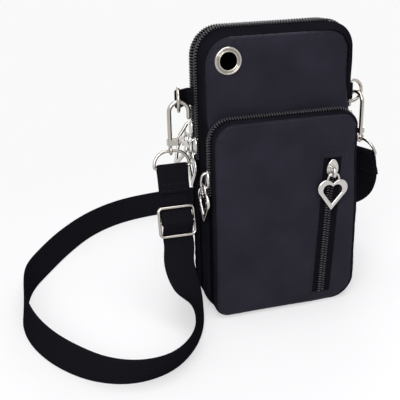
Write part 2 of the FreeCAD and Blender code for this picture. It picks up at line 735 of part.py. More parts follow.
def tri_glide(place):
    """A wire slider: a rounded frame with a bar across its middle."""
    w = GLIDE_W / 2 - GLIDE_WIRE_R
    h = GLIDE_REACH
    c = GLIDE_CORNER_R
    lean = c * (1 - math.sqrt(0.5))
    corners = [(1, 1), (-1, 1), (-1, -1), (1, -1)]
    edges = []
    for i, (sx, sz) in enumerate(corners):
        upright = V(sx * w, 0, sz * (h - c))
        level = V(sx * (w - c), 0, sz * h)
        middle = V(sx * (w - lean), 0, sz * (h - lean))
        start, end = (upright, level) if i % 2 == 0 else (level, upright)
        if edges:
            edges.append(Part.LineSegment(edges[-1].EndPoint, start))
        edges.append(Part.Arc(start, middle, end))
    edges.append(Part.LineSegment(edges[-1].EndPoint, edges[0].StartPoint))
    frame = pipe([e.toShape() for e in edges], GLIDE_WIRE_R)
    bar = rod(V(-w, 0, 0), V(w, 0, 0), GLIDE_WIRE_R)
    solid = joined([frame, bar])
    solid.translate(V(0, 0, -GLIDE_DOWN))
    return placed(solid, *place)


def strap_section(centre, across, along):
    """The strap's rectangular section at a point, square to the way it runs."""
    t = unit(along)
    w = unit(across - t * across.dot(t))
    n = t.cross(w)
    a = w * (STRAP_W / 2)
    b = n * (STRAP_T / 2)
    corners = [centre + a + b, centre - a + b, centre - a - b, centre + a - b]
    return Part.makePolygon(corners + corners[:1])


def twisted_strap(stations):
    """A ruled band through stations of (middle, way across), with given directions at both ends."""
    sections = []
    for i, (centre, across, along) in enumerate(stations):
        if along is None:
            along = stations[i + 1][0] - stations[i - 1][0]
        sections.append(strap_section(centre, across, along))
    return Part.makeLoft(sections, True, True)


def rounded_route(points):
    """Straight runs joined by tangent arcs as large as the runs allow, and the arcs' radii."""
    edges = []
    radii = []
    here = points[0]
    for before, corner, after in zip(points, points[1:], points[2:]):
        a = unit(before - corner)
        b = unit(after - corner)
        half_turn = (math.pi - a.getAngle(b)) / 2
        cut = ARC_SHARE * min((before - corner).Length, (after - corner).Length)
        radius = cut / math.tan(half_turn)
        start = corner + a * cut
        end = corner + b * cut
        bisector = unit(a + b)
        middle = corner + bisector * (radius / math.cos(half_turn) - radius)
        edges.append(Part.LineSegment(here, start).toShape())
        edges.append(Part.Arc(start, middle, end).toShape())
        radii.append(radius)
        here = end
    edges.append(Part.LineSegment(here, points[-1]).toShape())
    return edges, radii


def floor_ends():
    """The strap's section at both ends of its run on the table: middle, way across and way along."""
    points = [V(x, y, FLOOR_GAP) for x, y in FLOOR_ROUTE]
    ends = []
    for start, along in ((points[0], points[1] - points[0]), (points[-1], points[-1] - points[-2])):
        t = unit(along)
        inward = t.cross(V(0, 0, 1)) * math.sin(math.radians(FLOOR_LEAN))
        across = V(0, 0, math.cos(math.radians(FLOOR_LEAN))) + inward
        ends.append((start + across * (STRAP_W / 2), across, t))
    return ends


def strap_floor_run():
    """The strap on its edge on the table, leaning towards the inside of its loop, along its route."""
    points = [V(x, y, FLOOR_GAP) for x, y in FLOOR_ROUTE]
    edges, radii = rounded_route(points)
    path = Part.Wire(edges)
    sweep = Part.BRepOffsetAPI.MakePipeShell(path)
    sweep.setBiNormalMode(V(0, 0, 1))
    sweep.add(strap_section(*floor_ends()[0]))
    sweep.setTransitionMode(0)
    sweep.build()
    sweep.makeSolid()
    run = sweep.shape()
    print("strap on the table: radii", [round(r, 1) for r in radii])
    print("strap on the table: volume", round(run.Volume, 1), "section by length",
          round(STRAP_W * STRAP_T * path.Length, 1))
    return run


def strap_drop(place):
    """From the tri-glide down to the table, turning onto its edge."""
    bar, across, up = place
    end_out, end_down = pass_points()[-1]
    start = bar - up * end_down - up.cross(across) * end_out
    stations = [(start, -across, -up)]
    stations += [(V(*middle), V(*way), None) for middle, way in DROP_ROUTE]
    stations.append(floor_ends()[0])
    return twisted_strap(stations)


def strap_rise(place):
    """From the table up to the right strap ring."""
    bar, across, up = place
    stations = [floor_ends()[1]]
    stations += [(V(*middle), V(*way), None) for middle, way in RISE_ROUTE]
    stations.append((bar - up * FOLD_L, across, up))
    return twisted_strap(stations)


def all_parts():
    """Every piece of the pouch by its node name."""
    parts = {
        "back_panel": slab(REAR_Y, BACK_SEAM_Y, 0),
        "rear_zip_tape": zip_tape(BACK_SEAM_Y, REAR_ZIP_Y, MAIN_ZIP_END_Z),
        "rear_zip_teeth_outer": zip_teeth(REAR_ZIP_Y, 1, MAIN_ZIP_END_Z),
        "rear_zip_teeth_inner": zip_teeth(REAR_ZIP_Y, -1, MAIN_ZIP_END_Z),
        "middle_gusset": middle_gusset(),
        "divider": slab(DIVIDER_Y + DIVIDER_T / 2, DIVIDER_Y - DIVIDER_T / 2, RIM_T),
        "front_zip_teeth_inner": zip_teeth(FRONT_ZIP_Y, 1, MAIN_ZIP_END_Z),
        "front_zip_teeth_outer": zip_teeth(FRONT_ZIP_Y, -1, MAIN_ZIP_END_Z),
        "front_zip_tape": zip_tape(RIM_SEAM_Y, FRONT_ZIP_Y, MAIN_ZIP_END_Z),
        "front_rim": front_rim(),
        "front_panel": front_panel(),
        "eyelet": eyelet(),
        "eyelet_washer": eyelet_washer(),
        "pocket_face": pocket_face(),
        "slit_pocket_bag": slit_bag(),
    }
    pocket = (POCKET_ZIP_END_Z, POCKET_H, POCKET_R)
    parts["pocket_zip_tape_rear"] = zip_tape(FRONT_Y, POCKET_ZIP_Y, *pocket)
    parts["pocket_zip_teeth_rear"] = zip_teeth(POCKET_ZIP_Y, 1, *pocket)
    parts["pocket_zip_teeth_front"] = zip_teeth(POCKET_ZIP_Y, -1, *pocket)
    parts["pocket_zip_tape_front"] = zip_tape(POCKET_SEAM_Y, POCKET_ZIP_Y, *pocket)
    for side, word in ((-1, "left"), (1, "right")):
        parts["slit_zip_tape_" + word] = slit_tape(side)
        parts["slit_zip_teeth_" + word] = slit_teeth(side)

    side_zips = (
        ("rear", REAR_ZIP_Y, REAR_SLIDER_Z, REAR_PULL_TILT),
        ("front", FRONT_ZIP_Y, FRONT_SLIDER_Z, 0.0),
        ("pocket", POCKET_ZIP_Y, POCKET_SLIDER_Z, 0.0),
    )
    for word, y, z, tilt in side_zips:
        parts[word + "_slider"] = on_left_side(slider(), y, z)
        parts[word + "_pull"] = on_left_side(hung(pull(tilt)), y, z)
    slit_up = SLIT_L / 2 - SLIT_SLIDER_DOWN
    parts["slit_slider"] = in_slit(slider(), SLIT_CHAIN_Y, slit_up)
    parts["slit_pull"] = in_slit(hung(pull()), SLIT_CHAIN_Y, slit_up)

    turn = math.radians(RIGHT_HOOK_TURN)
    swing = math.radians(LEFT_RING_TURN)
    ends = (
        ("left", -1, LEFT_TAB_OUT, LEFT_RING_OUT, LEFT_RING_Y, LEFT_TAB_Z,
         V(-math.sin(swing), -math.cos(swing), 0), V(1, 0, 0), LEFT_HOOK_IN_RING, LEFT_HOOK_HANG,
         LEFT_STRAP_TURN, LEFT_STRAP_LEAN),
        ("right", 1, RIGHT_TAB_OUT, RIGHT_RING_OUT, RIGHT_RING_Y, RIGHT_TAB_Z, V(1, 0, 0),
         V(math.cos(turn), math.sin(turn), 0), RIGHT_HOOK_IN_RING, RIGHT_HOOK_HANG, RIGHT_STRAP_TURN,
         RIGHT_STRAP_LEAN),
    )
    places = {}
    for word, side, out, ring_out, ring_y, z, bow, plane, in_ring, hang, strap_turn, lean in ends:
        parts[word + "_tab"] = tab(side, out, ring_out, ring_y, z)
        parts[word + "_d_ring"] = d_ring(side, ring_out, ring_y, z, bow)
        foot = hook_foot(side, ring_out, ring_y, z, bow, plane, in_ring, hang)
        for name, make in (("hook_frame", hook_frame), ("hook_gate", hook_gate), ("gate_pin", gate_pin)):
            parts[word + "_" + name] = placed(make(), foot, plane, V(0, 0, 1))
        place = strap_frame(foot, strap_turn, lean)
        places[word] = place
        parts[word + "_swivel_eye"] = swivel_eye(plane, place[1], foot)
        parts[word + "_strap_ring"] = strap_ring(place)
        parts["strap_" + word + "_loop"] = strap_loop(place)

    left = places["left"]
    parts["tri_glide"] = tri_glide(left)
    parts["strap_adjuster_pass"] = webbing(ribbon_profile(pass_points()), left)
    parts["strap_sewn_tail"] = sewn_tail(left)
    parts["strap_drop"] = strap_drop(left)
    parts["strap_floor_run"] = strap_floor_run()
    parts["strap_rise"] = strap_rise(places["right"])
    return parts


def main():
    os.makedirs("parts", exist_ok=True)
    for name, shape in all_parts().items():
        print(name, shape.ShapeType, len(shape.Solids), shape.isValid(), round(shape.Volume, 2))
        shape.exportStep("parts/" + name + ".step")


main()
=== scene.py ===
import bpy
import numpy as np
from mathutils import Matrix


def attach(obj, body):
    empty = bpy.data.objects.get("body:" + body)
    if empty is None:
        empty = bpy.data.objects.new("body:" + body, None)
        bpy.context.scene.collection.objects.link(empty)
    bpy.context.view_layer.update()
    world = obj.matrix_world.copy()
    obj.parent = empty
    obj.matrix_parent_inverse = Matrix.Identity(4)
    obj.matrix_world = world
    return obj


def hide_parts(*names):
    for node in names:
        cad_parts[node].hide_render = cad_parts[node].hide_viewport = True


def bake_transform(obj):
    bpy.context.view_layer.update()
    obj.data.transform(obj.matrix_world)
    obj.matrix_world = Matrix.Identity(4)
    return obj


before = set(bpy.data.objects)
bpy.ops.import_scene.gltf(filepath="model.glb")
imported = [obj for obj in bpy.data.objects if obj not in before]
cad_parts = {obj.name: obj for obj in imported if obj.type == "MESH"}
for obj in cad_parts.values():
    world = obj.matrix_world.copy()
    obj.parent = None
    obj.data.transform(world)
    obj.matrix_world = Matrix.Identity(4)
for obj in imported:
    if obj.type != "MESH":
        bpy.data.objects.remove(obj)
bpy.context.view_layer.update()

# Lengths are written in millimetres and angles in degrees; MM takes a length to metres.
# Only the lights and the floor's fade are written in metres.
MM = 0.001

# Pouch: half width, heights and the depths of its seams and zips from back to front
SIDE = 48.0
HEIGHT = 180.0
POCKET_HEIGHT = 130.0
REAR_Y = 25.5
BACK_SEAM_Y = 24.0
REAR_ZIP_Y = 20.5
DIVIDER_Y = 16.0
FRONT_ZIP_Y = 11.5
RIM_SEAM_Y = 8.0
PANEL_SEAM_Y = -5.7
FRONT_Y = -10.5
POCKET_ZIP_Y = -14.0
POCKET_SEAM_Y = -17.5
FACE_Y = -25.5
MAIN_ZIP_END = 98.0
POCKET_ZIP_END = 84.0
CHAIN_OUT = 0.35
SEAM_IN = 1.1

# Outlines seen from the front: height, radii of the left and right top corners, then of the low ones.
# The worn pouch stands fuller at its right top corners, and its pocket is rounder at its low right one.
BODY = (HEIGHT, 18.0, 15.0, 8.0, 8.0)
FRONT = (178.8, 18.0, 15.0, 8.0, 8.0)
POCKET = (POCKET_HEIGHT, 14.0, 11.0, 9.5, 14.0)

# Zips: the height of their ends and the outline they follow, and the step from tooth to tooth
MAIN_ZIP = (MAIN_ZIP_END, BODY)
POCKET_ZIP = (POCKET_ZIP_END, POCKET)
TOOTH_PITCH = 1.7

# Points round a band and round the pocket's, and the length after which a flat sheet's ripples repeat
COLUMNS = 380
POCKET_COLUMNS = 340
REPEAT = 400.0

# Slanted slit in the pocket face
SLIT_TOP = np.array([30.2, 103.0])
SLIT_LOW = np.array([25.0, 8.0])
SLIT_L = np.linalg.norm(SLIT_TOP - SLIT_LOW)
SLIT_RISE = (SLIT_TOP - SLIT_LOW) / SLIT_L
SLIT_W = 11.5
SLIT_SHUT = 2.0
SLIT_HEM = 2.6
SLIT_CHAIN_Y = -24.65

# Cable eyelet's middle and the radius of the hole for it
EYELET = np.array([-33.8, 164.4])
EYELET_HOLE = 6.6

# Side tabs: width, thickness, a layer's distance from the middle and the radius round the D-ring's bar
TAB_W = 11.0
TAB_T = 0.95
TAB_LAYER = 0.52
TAB_TURN = 1.7

# Strap's width and thickness, and a zip tape's thickness
STRAP_W = 20.0
STRAP_T = 1.3
TAPE_T = 0.5

# Distance between the bands of a wave texture of scale 1
WAVE_STEP = 0.314


def linear(code):
    """An sRGB hex colour as the linear values a shader takes."""
    c = np.array([int(code[i:i + 2], 16) for i in (1, 3, 5)]) / 255
    return (*np.where(c <= 0.04045, c / 12.92, ((c + 0.055) / 1.055) ** 2.4).tolist(), 1.0)


def add(tree, kind, inputs=None, **settings):
    """Adds a shader node: settings are its own values, inputs are values or the sockets linked there."""
    made = tree.nodes.new(kind)
    for key, value in settings.items():
        setattr(made, key, value)
    for key, value in (inputs or {}).items():
        if isinstance(value, bpy.types.NodeSocket):
            tree.links.new(value, made.inputs[key])
        else:
            made.inputs[key].default_value = value
    return made


def finish(name, values):
    """A material with one Principled shader, whose constant values sit on its own sockets."""
    material = bpy.data.materials.new(name)
    material.use_nodes = True
    shader = material.node_tree.nodes["Principled BSDF"]
    for key, value in values.items():
        shader.inputs[key].default_value = value
    return material, material.node_tree, shader


def smooth(x, low, high):
    """0 below low, 1 above high, and an even S between them."""
    t = np.clip((x - low) / (high - low), 0, 1)
    return t * t * (3 - 2 * t)


def curve(points, count):
    """A smooth line through a few points: each stretch is a cubic whose end slopes follow its neighbours."""
    p = np.asarray(points, float)
    slope = np.gradient(p, axis=0)
    t = np.linspace(0, len(p) - 1, count)
    i = np.minimum(t.astype(int), len(p) - 2)
    f = (t - i)[:, None]
    return (p[i] * (1 + 2 * f) * (1 - f) ** 2 + slope[i] * f * (1 - f) ** 2
            + p[i + 1] * f * f * (3 - 2 * f) + slope[i + 1] * f * f * (f - 1))


def ripple(along, length, longest, shortest, seed):
    """Uneven waves that close after one length: ten sines with whole wave counts, about 1 high together."""
    rng = np.random.default_rng(seed)
    waves = np.round(length / rng.uniform(shortest, longest, 10))
    phase = rng.uniform(0, 2 * np.pi, 10)
    return np.sin(2 * np.pi * np.asarray(along)[..., None] * waves / length + phase).sum(-1) / 3.2


def unit(v):
    """Vectors at length 1."""
    v = np.asarray(v, float)
    return v / np.linalg.norm(v, axis=-1, keepdims=True)


def turns(count):
    """Angles evenly round a circle."""
    return np.linspace(0, 2 * np.pi, count, endpoint=False)


def run_along(points):
    """The distance along a line at each of its points."""
    return np.r_[0, np.cumsum(np.linalg.norm(np.diff(points, axis=0), axis=1))]


def show(name, data):
    """A new object in the scene."""
    made = bpy.data.objects.new(name, data)
    bpy.context.scene.collection.objects.link(made)
    return made


def stand(made, x, y, z, place):
    """Turns an object's own axes to three ways and puts it at a place in metres."""
    made.matrix_world = Matrix([*np.c_[x, y, z, place].tolist(), (0, 0, 0, 1)])


def net(grid, uv=None, wrap_rows=False, wrap_cols=False, keep=None, caps=False):
    """Points, faces and face corner UVs of a grid: each four neighbours make a face.

    A grid may close on itself along its rows or columns; caps close a tube's two ends with a flat face,
    and a closed shape is turned so that its faces point outwards.
    """
    rows, cols = grid.shape[:2]
    if uv is None:
        steps = (np.linalg.norm(np.diff(grid, axis=k), axis=2).mean(1 - k) for k in (0, 1))
        down, side = (np.r_[0, np.cumsum(np.r_[step, step[-1]])] for step in steps)
        uv = np.stack(np.meshgrid(side[:cols + wrap_cols], down[:rows + wrap_rows]), -1)
    i, j = np.meshgrid(np.arange(rows - (not wrap_rows)), np.arange(cols - (not wrap_cols)), indexing="ij")
    corners = ((i, j), (i, j + 1), (i + 1, j + 1), (i + 1, j))
    faces = np.stack([(a % rows) * cols + b % cols for a, b in corners], -1).reshape(-1, 4)
    flat = np.stack([uv[a, b] for a, b in corners], -2).reshape(-1, 4, 2)
    if keep is not None:
        faces, flat = faces[keep.ravel()], flat[keep.ravel()]
    faces, flat = list(faces), list(flat)
    points = grid.reshape(-1, 3)
    if caps:
        first, last = np.arange(cols), np.arange(cols) + (rows - 1) * cols
        faces += [first[::-1], last]
        flat += [uv[0, :cols][::-1], uv[-1, :cols]]
    if caps or (wrap_rows and wrap_cols):
        fans = np.concatenate([np.stack([np.full(len(f) - 2, f[0]), f[1:-1], f[2:]], 1) for f in faces])
        a, b, c = (points[fans[:, k]] for k in range(3))
        if np.einsum("ij,ij->i", a, np.cross(b, c)).sum() < 0:
            faces = [f[::-1] for f in faces]
            flat = [f[::-1] for f in flat]
    return points, faces, flat


def sheet(x, y, z, keep=None):
    """A panel's grid, with its cloth laid flat on x and z."""
    return net(np.stack([x, y, z], -1), np.stack([x, z], -1), keep=keep)


def turned(part):
    """The same part with its faces the other way round."""
    points, faces, flat = part
    return points, [f[::-1] for f in faces], [f[::-1] for f in flat]


def together(parts):
    """Several parts as one."""
    points, faces, flat, start = [], [], [], 0
    for p, f, u in parts:
        points.append(p)
        faces += [x + start for x in f]
        flat += u
        start += len(p)
    return np.concatenate(points), faces, flat


def copies(part, origins, across, out, along):
    """A small part repeated at many origins, its x, -y and z turned to each place's own three ways."""
    points, faces, flat = part
    count = len(origins)
    x, y, z = (np.broadcast_to(way, (count, 3))[:, None] for way in (across, out, along))
    placed = np.asarray(origins)[:, None] + points[:, :1] * x - points[:, 1:2] * y + points[:, 2:] * z
    shift = np.arange(count) * len(points)
    return placed.reshape(-1, 3), [f + s for s in shift for f in faces], flat * count


def piece(name, part, material, body, nodes=(), wall=0.0, inside=None):
    """Puts a part into a mesh that rides on a body; wall gives cloth its thickness inwards, with a lining."""
    points, faces, flat = part
    mesh = bpy.data.meshes.new(name)
    mesh.from_pydata((points * MM).tolist(), [], [f.tolist() for f in faces])
    layer = mesh.uv_layers.new(name="cloth")
    layer.data.foreach_set("uv", np.concatenate(flat).astype(np.float32).ravel())
    mesh.polygons.foreach_set("use_smooth", np.ones(len(mesh.polygons), bool))
    mesh.materials.append(material)
    made = show(name, mesh)
    if wall:
        if inside:
            mesh.materials.append(inside)
        solid = made.modifiers.new("wall", "SOLIDIFY")
        solid.thickness = wall * MM
        solid.offset = -1.0
        solid.use_quality_normals = True
        solid.material_offset = 1 if inside else 0
    if body:
        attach(made, body)
    if nodes:
        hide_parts(*nodes)
    return made


def tube(path, radius, sides=12, flat=1.0, lift=(0.0, 1.0, 0.0)):
    """A round or flattened wire along a path: circles square to it, carried without twisting about lift."""
    path = np.asarray(path, float)
    t = unit(np.gradient(path, axis=0))
    n = unit(np.cross(t, np.broadcast_to(lift, t.shape)))
    b = np.cross(n, t)
    a = turns(sides)
    r = np.broadcast_to(np.asarray(radius, float), (len(path),))[:, None, None]
    circle = np.cos(a)[None, :, None] * n[:, None] + flat * np.sin(a)[None, :, None] * b[:, None]
    return net(path[:, None] + r * circle, wrap_cols=True, caps=True)


def maths(tree, operation, *values):
    """The result of a Math node on values or sockets."""
    return add(tree, "ShaderNodeMath", dict(enumerate(values)), operation=operation).outputs["Value"]


def between(tree, factor, first, second):
    """A colour between two, by a factor's socket."""
    mix = add(tree, "ShaderNodeMix", {"Factor": factor, "A": first, "B": second}, data_type="RGBA")
    return mix.outputs[2]


def clouds(tree, place, size, detail):
    """Soft patches about a size across."""
    values = {"Vector": place, "Scale": 1 / size, "Detail": detail}
    return add(tree, "ShaderNodeTexNoise", values).outputs["Fac"]


def bands(tree, place, pitch, way, **inputs):
    """Bands a pitch apart: those of a wave texture lie WAVE_STEP over its scale apart."""
    values = {"Vector": place, "Scale": WAVE_STEP / pitch}
    values.update({key.replace("_", " "): value for key, value in inputs.items()})
    return add(tree, "ShaderNodeTexWave", values, bands_direction=way).outputs["Fac"]


def bumped(tree, shader, height, strength, depth):
    """Gives a shader the relief of a height's socket."""
    bump = add(tree, "ShaderNodeBump", {"Height": height, "Strength": strength, "Distance": depth * MM})
    tree.links.new(bump.outputs["Normal"], shader.inputs["Normal"])


# Woven black nylon: a satin twill with fine diagonal ribs; their sheen is painted into the colour as a
# lighter, cool violet shade along the ribs, which also draws the weave's pattern.
# The real ribs are about 0.4 mm apart; they are drawn at 1.3 mm so that they show at the render's size.
def nylon(name, dark, light, turn, shine):
    """Nylon twill: diagonal ribs crossed by the finer weft, painted lighter for their sheen, on the piece's
    own UV map in millimetres.
    """
    material, tree, shader = finish(name, {"Roughness": 0.36, "Specular IOR Level": shine})
    cloth = add(tree, "ShaderNodeUVMap", uv_map="cloth").outputs["UV"]
    values = {"Vector": cloth, "Rotation": (0, 0, np.radians(turn))}
    slant = add(tree, "ShaderNodeMapping", values).outputs["Vector"]
    ribs = bands(tree, slant, 1.3, "X", Distortion=0.5, Detail=1.0, Detail_Scale=1.5)
    weft = bands(tree, slant, 0.7, "Y", Distortion=0.3)
    # Ribs times weft lighten the colour: the weave's pattern, with the ribs' sheen painted in.
    threads_and_sheen = maths(tree, "MULTIPLY", ribs, weft)
    shade = maths(tree, "MULTIPLY_ADD", threads_and_sheen, 0.55, clouds(tree, cloth, 28, 2.0))
    tree.links.new(between(tree, shade, linear(dark), linear(light)), shader.inputs["Base Color"])
    bumped(tree, shader, ribs, 0.22, 0.12)
    return material


# Polyester webbing: tight cross ribs with a fine lengthwise grain, dull.
# The real ribs are about 1 mm apart; they are drawn at 1.5 mm so that they show at the render's size.
def webbing(name, dark, light):
    """Webbing: ribs across the strap broken up by the warp, on the strap's UV map in millimetres."""
    material, tree, shader = finish(name, {"Roughness": 0.6, "Specular IOR Level": 0.0})
    cloth = add(tree, "ShaderNodeUVMap", uv_map="cloth").outputs["UV"]
    ribs = bands(tree, cloth, 1.5, "Y", Distortion=0.6, Detail=1.0, Detail_Scale=2.0)
    warp = bands(tree, cloth, 1.1, "X")
    weave = maths(tree, "MULTIPLY", ribs, warp)
    shade = maths(tree, "MULTIPLY_ADD", weave, 0.6, clouds(tree, cloth, 1 / 0.9, 3.0))
    tree.links.new(between(tree, shade, linear(dark), linear(light)), shader.inputs["Base Color"])
    bumped(tree, shader, weave, 0.5, 0.25)
    return material


# Nickel plated zinc and steel: bright, polished by tumbling, with faint waviness and dulled spots.
def plating(name, colour, rough):
    """Plated metal: a mirror finish whose roughness wanders over a few millimetres."""
    material, tree, shader = finish(name, {"Base Color": linear(colour), "Metallic": 1.0})
    place = add(tree, "ShaderNodeTexCoord").outputs["Object"]
    dulled = {"Value": clouds(tree, place, 4 * MM, 3.0), "To Min": rough, "To Max": rough + 0.14}
    tree.links.new(add(tree, "ShaderNodeMapRange", dulled).outputs["Result"], shader.inputs["Roughness"])
    bumped(tree, shader, clouds(tree, place, 2.2 * MM, 1.0), 0.12, 0.1)
    return material


# Moulded nylon zip coil: a hard dark grey plastic with small bright glints on each turn.
def coil(name, dark, light):
    """Zip coil: dark plastic a little lighter in patches, glossy enough to glint."""
    material, tree, shader = finish(name, {"Roughness": 0.3, "Specular IOR Level": 0.5})
    place = add(tree, "ShaderNodeTexCoord").outputs["Object"]
    patches = clouds(tree, place, 3 * MM, 2.0)
    tree.links.new(between(tree, patches, linear(dark), linear(light)), shader.inputs["Base Color"])
    return material


# The lighter of each nylon's two colours holds the ribs' painted sheen as well as the cloth's paler patches.
SHELL = nylon("nylon_twill_black", "#17161a", "#2c2b35", 45, 0.02)
GUSSET = nylon("nylon_twill_gusset", "#0c0b0f", "#1b1a20", 45, 0.0)
LINING = nylon("nylon_taffeta_lining", "#08080b", "#15151a", 0, 0.0)
# One zip tape in two shades: the lighter copy paints the light on the open slit's tapes, the darker one the
# shade on the tapes in the gussets' grooves.
TAPE = webbing("zip_tape_polyester", "#050506", "#0e0e11")
LIT_SLIT_TAPE = webbing("zip_tape_polyester_slit_lit", "#0a0a0d", "#17161b")
STRAP = webbing("webbing_polyester_black", "#09090b", "#1b1a1f")
THREAD = webbing("thread_polyester_black", "#0c0c0f", "#2b2a31")
TEETH = coil("zip_coil_nylon", "#1c1c20", "#3c3c42")
NICKEL = plating("nickel_plate", "#b5afa8", 0.08)
SILVER = plating("nickel_plate_zip", "#c9c6c2", 0.1)

# Camera at the photograph's viewpoint, for a square frame; the three lengths are the photograph's pixels
PHOTO_W = 400.0
FOCAL = 731.9
SHIFT = 1.0
camera = bpy.data.cameras.new("camera")
camera.sensor_width = 36.0
camera.lens = camera.sensor_width * FOCAL / PHOTO_W
camera.clip_start = 0.01
camera.shift_x = SHIFT / PHOTO_W
camera.shift_y = SHIFT / PHOTO_W
viewer = show("camera", camera)
ROLL = np.radians(0.7)
cos, sin = np.cos(ROLL), np.sin(ROLL)
right = np.array([0.95750, -0.28615, -0.03623])
above = np.array([0.13547, 0.33524, 0.93234])
stand(viewer, right * cos + above * sin, above * cos - right * sin, (-0.25464, -0.89763, 0.35976),
      np.array([-170.9, -422.6, 243.4]) * MM)
bpy.context.scene.camera = viewer


# Strap: where its ends hang, and its route over the table
def strap_place(bar, turn, lean):
    """A strap ring's bar, the way across the strap and the way up it."""
    a, b = np.radians([turn, lean])
    across = np.array([np.cos(a), np.sin(a), 0.0])
    level = np.array([-np.sin(a), np.cos(a), 0.0])
    return np.array(bar), across, np.array([0, 0, np.cos(b)]) - level * np.sin(b)


LEFT_END = strap_place((-66.890, 4.299, 97.437), 0.0, -13.6)
RIGHT_END = strap_place((68.141, 7.032, 92.452), -70.0, 18.0)
# Behind the tri-glide's top bar, over its middle and behind its bottom bar: out and down from the ring's bar
PASS_ROUTE = np.array([(-0.65, 15.0), (-1.95, 24.0), (-1.95, 27.0), (3.25, 33.3), (3.25, 36.3),
                       (-1.95, 42.6), (-1.95, 45.6), (0.0, 50.8)])
DROP_ROUTE = np.array([(-69.0, -11.8, 38.5), (-67.5, -18.0, 29.0), (-64.5, -26.0, 20.5), (-63.5, -35.5, 14.5),
                       (-66.8, -47.0, 11.2)])
DROP_ACROSS = np.array([(-1.0, 0.0, 0.1), (-0.95, 0.05, 0.3), (-0.75, 0.1, 0.65), (-0.4, 0.05, 0.9),
                        (-0.1, -0.05, 1.0)])
FLOOR_ROUTE = np.array([
    (-75.0, -59.0), (-85.5, -69.5), (-97.0, -75.8), (-111.5, -78.2), (-126.5, -74.2),
    (-142.0, -63.0), (-156.5, -43.0), (-166.5, -18.5), (-170.0, 7.0), (-165.5, 30.0),
    (-159.5, 55.5), (-145.5, 79.5), (-127.5, 109.0), (-105.0, 138.5), (-76.0, 158.0),
    (-42.0, 165.0), (-6.0, 166.0), (26.0, 160.0), (50.0, 142.5), (63.0, 115.0)])
# How far the strap's top edge leans towards the loop's inside at each of these points
FLOOR_LEAN = np.array([-12.0, -20, -24, -19, -9, 6, 13, 16, 13, 0,
                       -10, -18, -20, -12, -14, -18, -18, -16, -16, -22])
FLOOR_REST = 0.45
RISE_ROUTE = np.array([(67.5, 90.0, 15.5), (70.5, 66.0, 26.0), (72.3, 48.0, 37.0), (73.4, 33.5, 49.0),
                       (73.8, 22.0, 60.0), (73.4, 14.0, 69.0)])
RISE_ACROSS = np.array([(0.5, 0.15, 0.85), (0.9, 0.2, 0.38), (0.98, 0.0, -0.05), (0.88, -0.3, -0.32),
                        (0.66, -0.62, -0.35), (0.45, -0.88, -0.12)])


def hang(place, out, down):
    """Points at a strap end, from their distance outwards and down the strap."""
    bar, across, up = place
    return bar - np.outer(down, up) - np.outer(out, np.cross(up, across))


def spline(name, points):
    """Points along the smooth curve, of order 3, that a route's points control."""
    line = bpy.data.curves.new(name, "CURVE")
    line.dimensions = "3D"
    line.resolution_u = 12
    run = line.splines.new("NURBS")
    run.points.add(len(points) - 1)
    run.points.foreach_set("co", np.c_[points * MM, np.ones(len(points))].ravel())
    run.order_u = 3
    run.use_endpoint_u = True
    holder = show(name, line)
    bpy.context.view_layer.update()
    mesh = bpy.data.meshes.new_from_object(holder)
    found = np.empty(len(mesh.vertices) * 3)
    mesh.vertices.foreach_get("co", found)
    bpy.data.objects.remove(holder)
    bpy.data.curves.remove(line)
    bpy.data.meshes.remove(mesh)
    return found.reshape(-1, 3) / MM


def strap_route():
    """The strap's middle and way across at each control point, from the tri-glide to the right ring."""
    lower = np.c_[FLOOR_ROUTE, np.full(len(FLOOR_ROUTE), FLOOR_REST)]
    along = unit(np.gradient(lower, axis=0))
    lean = np.radians(FLOOR_LEAN)[:, None]
    stand = np.cos(lean) * (0, 0, 1) + np.sin(lean) * np.cross(along, (0, 0, 1))
    right_bar, right_across, right_up = RIGHT_END
    middle = np.concatenate([hang(LEFT_END, *PASS_ROUTE.T), DROP_ROUTE, lower + stand * STRAP_W / 2,
                             RISE_ROUTE, [right_bar - right_up * 15.0, right_bar - right_up * 10.0]])
    across = np.concatenate([np.tile((-1.0, 0.0, 0.0), (len(PASS_ROUTE), 1)), unit(DROP_ACROSS), stand,
                             unit(RISE_ACROSS), [right_across, right_across]])
    return middle, across


def ribbon(middle, across, width=STRAP_W, thick=STRAP_T):
    """Webbing along a line: a flat section whose two edges are rounded."""
    across = np.broadcast_to(across, middle.shape)
    along = unit(np.gradient(middle, axis=0))
    w = unit(across - along * (across * along).sum(1, keepdims=True))
    face = np.cross(along, w)
    a = np.array([-1, -0.985, -0.93, -0.8, -0.6, -0.4, -0.2, 0, 0.2, 0.4, 0.6, 0.8, 0.93, 0.985, 1])
    deep = np.sqrt(1 - a ** 14)
    a, deep = np.r_[a, a[-2:0:-1]], np.r_[deep, -deep[-2:0:-1]]
    grid = (middle[:, None] + (a * width / 2)[None, :, None] * w[:, None]
            + (deep * thick / 2)[None, :, None] * face[:, None])
    uv = np.stack(np.meshgrid(np.r_[a, a[0]] * width / 2, run_along(middle)), -1)
    return net(grid, uv, wrap_cols=True, caps=True)


strap_middle, strap_across = strap_route()
low_edge = spline("low_edge", strap_middle - strap_across * STRAP_W / 2)
high_edge = spline("high_edge", strap_middle + strap_across * STRAP_W / 2)
strap_line = (low_edge + high_edge) / 2
strap = piece("strap", ribbon(strap_line, high_edge - low_edge), STRAP, "pouch",
              ("strap_adjuster_pass", "strap_drop", "strap_floor_run", "strap_rise"))


def fold_line(count):
    """A strap end folded round its ring's bar, edge on: up the front layer, over the bar, down the back."""
    r, t = 1.15 + STRAP_T / 2, STRAP_T / 2
    a = np.linspace(np.pi, 0, 15)
    front = np.array([(t, 16.5), (t, 13.0), (t, 9.0), (1.2, 4.0)])
    back = front[::-1] * (-1, 1)
    return curve(np.concatenate([front, np.c_[-r * np.cos(a), -r * np.sin(a)], back]), count)


